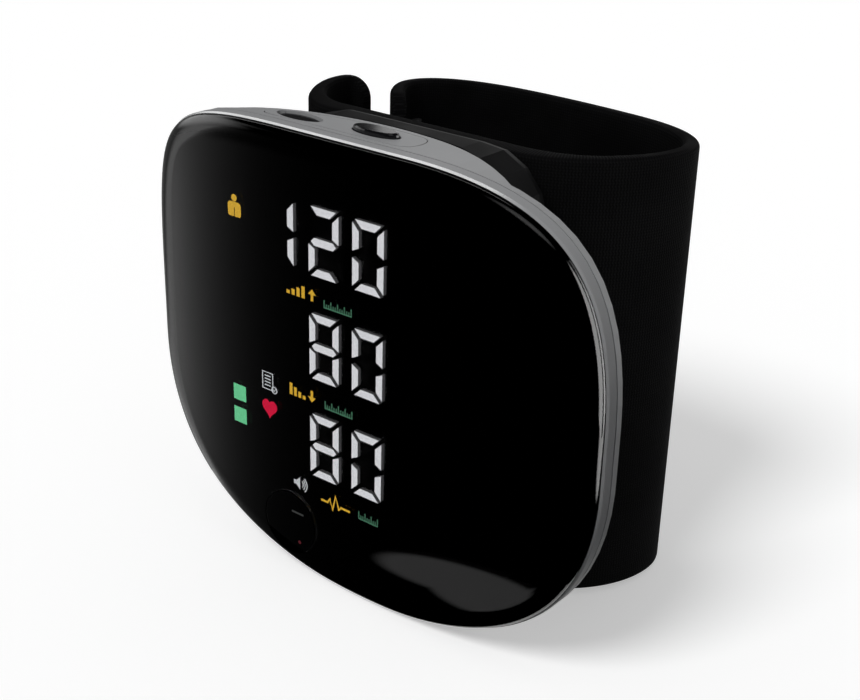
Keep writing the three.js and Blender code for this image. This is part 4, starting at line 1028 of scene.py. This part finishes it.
class MONITOR_OT_cuff(bpy.types.Operator):
    """Builds the knitted cuff: the near wall with its short end, the fold and the long end"""

    bl_idname = "monitor.cuff"
    bl_label = "Cuff"

    def execute(self, context):
        reach, slack = 4.5 * MM, 0.9 * MM
        line = CuffLine(context.scene.monitor_cuff)
        fabric = make_cuff_fabric(line.cuff)
        before, after = line.fold - reach, line.fold + reach
        near = build_strap("cuff_near_wall", line, 0.0, before, 0.0, "case")
        turn = build_strap("cuff_turn", line, before, after, None, None)
        far = build_strap("cuff_far_wall", line, after, line.total, line.total, "flap")
        for piece in (near, turn, far):
            paint(piece, fabric)
        start, end = line.place(before)[0], line.place(after)[0]
        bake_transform(turn)
        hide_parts("cuff_sleeve")
        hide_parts("cuff_flap")
        paint("hook_patch", make_hook_tape())
        return {"FINISHED"}


class MONITOR_OT_stage(bpy.types.Operator):
    """Sets the camera, the lamp, the floor and the cards that the window reflects"""

    bl_idname = "monitor.stage"
    bl_label = "Stage"

    def execute(self, context):
        stage = context.scene.monitor_stage
        context.scene.view_settings.view_transform = "Standard"
        place_camera(context.scene, stage)
        make_world(context.scene)
        make_floor(stage)
        make_dark_cards(mirrored_eye(stage))
        make_glow_cards()
        make_key_lamp(direction=(-0.06, -0.63, 0.777), angle=math.radians(22), strength=1.82)
        return {"FINISHED"}


CAMERA_TARGET = case_point(12.2 * MM, 0.0, 44.4 * MM)


def view_axes(stage):
    """The camera's right, up and back directions"""
    a, e, r = stage.azimuth, stage.elevation, stage.roll
    back = Vector((math.sin(a) * math.cos(e), -math.cos(a) * math.cos(e), math.sin(e)))
    right = Vector((math.cos(a), math.sin(a), 0.0))
    turned = right * math.cos(r) + back.cross(right) * math.sin(r)
    return turned, back.cross(turned), back


def place_camera(scene, stage):
    data = bpy.data.cameras.new("camera")
    data.lens = stage.lens
    data.sensor_width = 36.0
    data.sensor_fit = "HORIZONTAL"
    data.clip_start = 5 * MM
    camera = bpy.data.objects.new("camera", data)
    scene.collection.objects.link(camera)
    axes = view_axes(stage)
    matrix = Matrix(axes).transposed().to_4x4()
    matrix.translation = CAMERA_TARGET + axes[2] * stage.distance
    camera.matrix_world = matrix
    scene.camera = camera


def mirrored_eye(stage):
    """Where the camera stands, mirrored in the window's flat front"""
    eye = CAMERA_TARGET + view_axes(stage)[2] * stage.distance
    return Vector((eye.x, 2 * LENS_LOW.y - eye.y, eye.z))


def seen_directly(shader):
    """1 for what the camera, gloss and clear plastic show, 0 for what lights the object"""
    path = shader.add("LightPath").outputs
    seen = shader.larger(path["Is Camera Ray"], path["Is Glossy Ray"])
    return shader.larger(seen, path["Is Transmission Ray"])


def make_world(scene):
    """White where it is seen, and a weaker light on the object"""
    ambient = 0.3
    world = bpy.data.worlds.new("studio")
    scene.world = world
    world.use_nodes = True
    shader = Shader(world.node_tree)
    background = world.node_tree.nodes["Background"]
    background.inputs["Color"].default_value = (1.0, 1.0, 1.0, 1.0)
    level = shader.math("MULTIPLY_ADD", seen_directly(shader), 1 - ambient, ambient)
    shader.link(level, background, "Strength")


def make_floor(stage):
    """A pale floor that keeps the shadow and throws little light up"""
    size, glow = 3.0, 0.4
    corners = card_corners((-size, -size, 0.0), (size, size, 0.0))
    floor = mesh_object("floor", corners, [(0, 1, 2, 3)], None, smooth=False)
    material, shader, surface = new_material("floor_paper", {"Roughness": 0.9, "Specular IOR Level": 0.0})
    surface.inputs["Emission Color"].default_value = (1.0, 1.0, 1.0, 1.0)
    seen = seen_directly(shader)
    paper = stage.floor_colour
    shader.link(shader.blend(seen, colour(paper, stage.floor_bounce), colour(paper)), surface, "Base Color")
    shader.link(shader.times(seen, glow), surface, "Emission Strength")
    paint(floor, material)


def card_corners(a, b):
    """The corners of a level or upright card between two opposite corners"""
    if a[2] == b[2]:
        return [a, (b[0], a[1], a[2]), b, (a[0], b[1], a[2])]
    return [a, (b[0], b[1], a[2]), b, (a[0], a[1], b[2])]


def gloss_card(name, a, b, light=0.0, cover=None):
    """A dark or lit card that only gloss reflects. Its cover is 1 where it stands and 0 where it is open."""
    card = mesh_object(name, card_corners(a, b), [(0, 1, 2, 3)], None, smooth=False)
    material = bpy.data.materials.new(name)
    material.use_nodes = True
    tree = material.node_tree
    tree.nodes.remove(tree.nodes["Principled BSDF"])
    shader = Shader(tree)
    share = cover(shader, shader.axes()) if cover else 1.0
    clear = shader.add("BsdfTransparent").outputs[0]
    face = shader.add("Emission", {"Color": (1.0, 1.0, 1.0, 1.0), "Strength": light}).outputs[0]
    blend = shader.add("MixShader", {0: share, 1: clear, 2: face})
    shader.link(blend.outputs[0], tree.nodes["Material Output"], "Surface")
    paint(card, material)
    card.visible_camera = card.visible_diffuse = card.visible_shadow = False


def soft_spot(shader, place, centre, radii, turn=0.0, full=0.55):
    """1 in the middle of a soft oval and 0 outside it, in the plane of two coordinates"""
    over, up = (shader.minus(place[i], centre[i]) for i in range(2))
    c, s = math.cos(turn), math.sin(turn)
    along = shader.math("MULTIPLY_ADD", over, c / radii[0], shader.times(up, s / radii[0]))
    across = shader.math("MULTIPLY_ADD", up, c / radii[1], shader.times(over, -s / radii[1]))
    squares = shader.plus(shader.times(along, along), shader.times(across, across))
    return shader.ramp(squares, 1.0, full)


# The tent of cards round the case, and how high its lowest cards lie over the floor
TENT_LEFT, TENT_RIGHT, TENT_FRONT, TENT_TOP = -0.30, 0.30, -0.36, 0.42
CARD_LIFT, GLOW_LIFT = 1.0 * MM, 1.5 * MM


def left_gradient(shader, place, eye):
    """How open the dark cards are: most at the window's left rim, fading to the right"""
    rim, softness, deepest = 35.2 * MM, 5.6 * MM, 5 * MM
    outside_start, outside_end, outside_dark = -12 * MM, -92 * MM, 0.8
    across = shader.minus(place[0], eye.x)
    away = shader.minus(shader.math("MINIMUM", place[1], FACE - deepest), eye.y)
    slope = shader.math("DIVIDE", across, away)
    seen = shader.math("MULTIPLY_ADD", slope, FACE - eye.y, eye.x + rim)
    fade = shader.math("EXPONENT", shader.math("DIVIDE", shader.larger(seen, 0.0), -softness))
    beyond = shader.ramp(seen, outside_start, outside_end, 0.0, outside_dark)
    return shader.times(fade, shader.minus(1.0, beyond))


def floor_cover(eye, shader, place):
    """Open at the left, and a little in the long soft reflection at the window's foot"""
    light = 0.36
    dark = shader.minus(1.0, left_gradient(shader, place, eye))
    upper = soft_spot(shader, place, (9.5 * MM, FACE - 15.3 * MM), (15.5 * MM, 4.6 * MM), -0.22)
    lower = soft_spot(shader, place, (15.5 * MM, FACE - 14.3 * MM), (11 * MM, 5.2 * MM), -0.12)
    return shader.minus(dark, shader.times(shader.larger(upper, lower), light))


def corner_cover(shader, place):
    """Darker away from the face"""
    start, end, near_dark, far_dark = FACE - 10 * MM, FACE + 60 * MM, 0.6, 0.85
    return shader.ramp(place[1], start, end, near_dark, far_dark)


def side_cover(eye, shader, place):
    """Open low at the left, in a patch over it, and in a high band for the frame's polished edge"""
    low_edge, patch_heights, patch_depths = (0.2, 0.11), (0.11, 0.2, 0.32, 0.27), (-0.24, -0.1, 0.1, 0.05)
    band_depths, band_foot = (0.05, 0.065, 0.125, 0.11), (0.2, 0.25)
    depth, height = place[1], place[2]
    patch = shader.times(shader.within(height, *patch_heights), shader.within(depth, *patch_depths))
    band = shader.times(shader.within(depth, *band_depths), shader.ramp(height, *band_foot))
    low = shader.times(left_gradient(shader, place, eye), shader.ramp(height, *low_edge))
    return shader.minus(1.0, shader.larger(low, shader.larger(patch, band)))


def roof_cover(shader, place):
    """Open in a slanting band that the polished edge along the top reflects"""
    slant, middle, outer, inner, start, full = -0.25, 0.024, 0.032, 0.026, -0.005, -0.06
    centre = shader.math("MULTIPLY_ADD", place[0], slant, middle)
    off = shader.math("ABSOLUTE", shader.minus(place[1], centre))
    band = shader.times(shader.ramp(off, outer, inner), shader.ramp(place[0], start, full))
    return shader.minus(1.0, band)


def make_dark_cards(eye):
    """A low tent of dark cards round the front and the left, as for any polished black window"""
    near, beside, roof_back = FACE - 0.3 * MM, 43 * MM, 0.5
    corner_back, side_back, right_back = 0.3, 0.33, 0.1

    def card(name, x, y, z, cover=None):
        """A card between two opposite corners, each given by its first and last place on the three axes"""
        gloss_card(name, (x[0], y[0], z[0]), (x[1], y[1], z[1]), 0.0, cover)

    left, right, front, top = TENT_LEFT, TENT_RIGHT, TENT_FRONT, TENT_TOP
    wide, foot, roof = (left, right), (CARD_LIFT, CARD_LIFT), (top, top)
    card("card_floor", wide, (near, front), foot, partial(floor_cover, eye))
    card("card_corner", (left, -beside), (corner_back, near), foot, corner_cover)
    card("card_side", (left, left), (front, side_back), (CARD_LIFT, top), partial(side_cover, eye))
    card("card_roof", wide, (roof_back, front), roof, roof_cover)
    card("card_front", wide, (front, front), (top, CARD_LIFT))
    card("card_right", (right, right), (front, right_back), (top, CARD_LIFT))
    card("card_back", (beside, right), (right_back, near), foot)


def make_glow_cards():
    """Soft lit spots for the highlights on the window's rim: right, left, foot and upper right corner"""

    def oval(first, second, *spots, full=0.0):
        """A cover that stands only in soft ovals, each given by its centre and radii on two axes"""

        def cover(shader, place):
            pair = (place[first], place[second])
            found = [soft_spot(shader, pair, centre, radii, 0.0, full) for centre, radii in spots]
            return shader.larger(*found) if len(found) == 2 else found[0]

        return cover

    gloss_card("glow_floor", (0.06, -0.08, GLOW_LIFT), (0.12, 0.04, GLOW_LIFT), 3.5,
               oval(0, 1, ((0.135, -0.015), (0.05, 0.055)), full=0.55))
    gloss_card("glow_right", (0.12, -0.12, GLOW_LIFT), (0.12, 0.08, 0.19), 4.5,
               oval(1, 2, ((-0.055, 0.06), (0.04, 0.125)), ((0.022, 0.05), (0.036, 0.11)), full=0.3))
    gloss_card("glow_left", (-0.29, -0.3, 0.05), (-0.29, 0.14, 0.33), 1.9,
               oval(1, 2, ((-0.08, 0.185), (0.19, 0.105))))
    gloss_card("glow_high", (-0.1, -0.3, 0.3), (0.14, -0.09, 0.3), 0.7,
               oval(0, 1, ((0.03, -0.19), (0.12, 0.1))))


def make_key_lamp(direction, angle, strength):
    """A soft lamp far away, in the given direction. Polished faces don't mirror it."""
    data = bpy.data.lights.new("key_sun", "SUN")
    data.angle = angle
    data.energy = strength
    light = bpy.data.objects.new("key_sun", data)
    bpy.context.scene.collection.objects.link(light)
    light.rotation_euler = Vector(direction).to_track_quat("Z", "Y").to_euler()
    light.visible_glossy = False


OPERATORS = (
    MONITOR_OT_finishes, MONITOR_OT_window, MONITOR_OT_display, MONITOR_OT_case,
    MONITOR_OT_inside, MONITOR_OT_cuff, MONITOR_OT_stage,
)
SETTINGS = {
    "monitor_case": MonitorCase, "monitor_display": MonitorDisplay,
    "monitor_cuff": MonitorCuff, "monitor_stage": MonitorStage,
}


class MONITOR_PT_panel(bpy.types.Panel):
    """Lists the steps that dress the monitor"""

    bl_idname = "MONITOR_PT_panel"
    bl_label = "Wrist Monitor"
    bl_space_type = "VIEW_3D"
    bl_region_type = "UI"
    bl_category = "Monitor"

    def draw(self, context):
        for operator in OPERATORS:
            self.layout.operator(operator.bl_idname)


CLASSES = (*SETTINGS.values(), *OPERATORS, MONITOR_PT_panel)


def register():
    for item in CLASSES:
        bpy.utils.register_class(item)
    for name, group in SETTINGS.items():
        setattr(bpy.types.Scene, name, bpy.props.PointerProperty(type=group))


def unregister():
    for name in SETTINGS:
        delattr(bpy.types.Scene, name)
    for item in reversed(CLASSES):
        bpy.utils.unregister_class(item)


def main():
    register()
    bpy.ops.monitor.finishes()
    bpy.ops.monitor.window()
    bpy.ops.monitor.display()
    bpy.ops.monitor.case()
    bpy.ops.monitor.inside()
    bpy.ops.monitor.cuff()
    bpy.ops.monitor.stage()


if __name__ == "__main__":
    main()
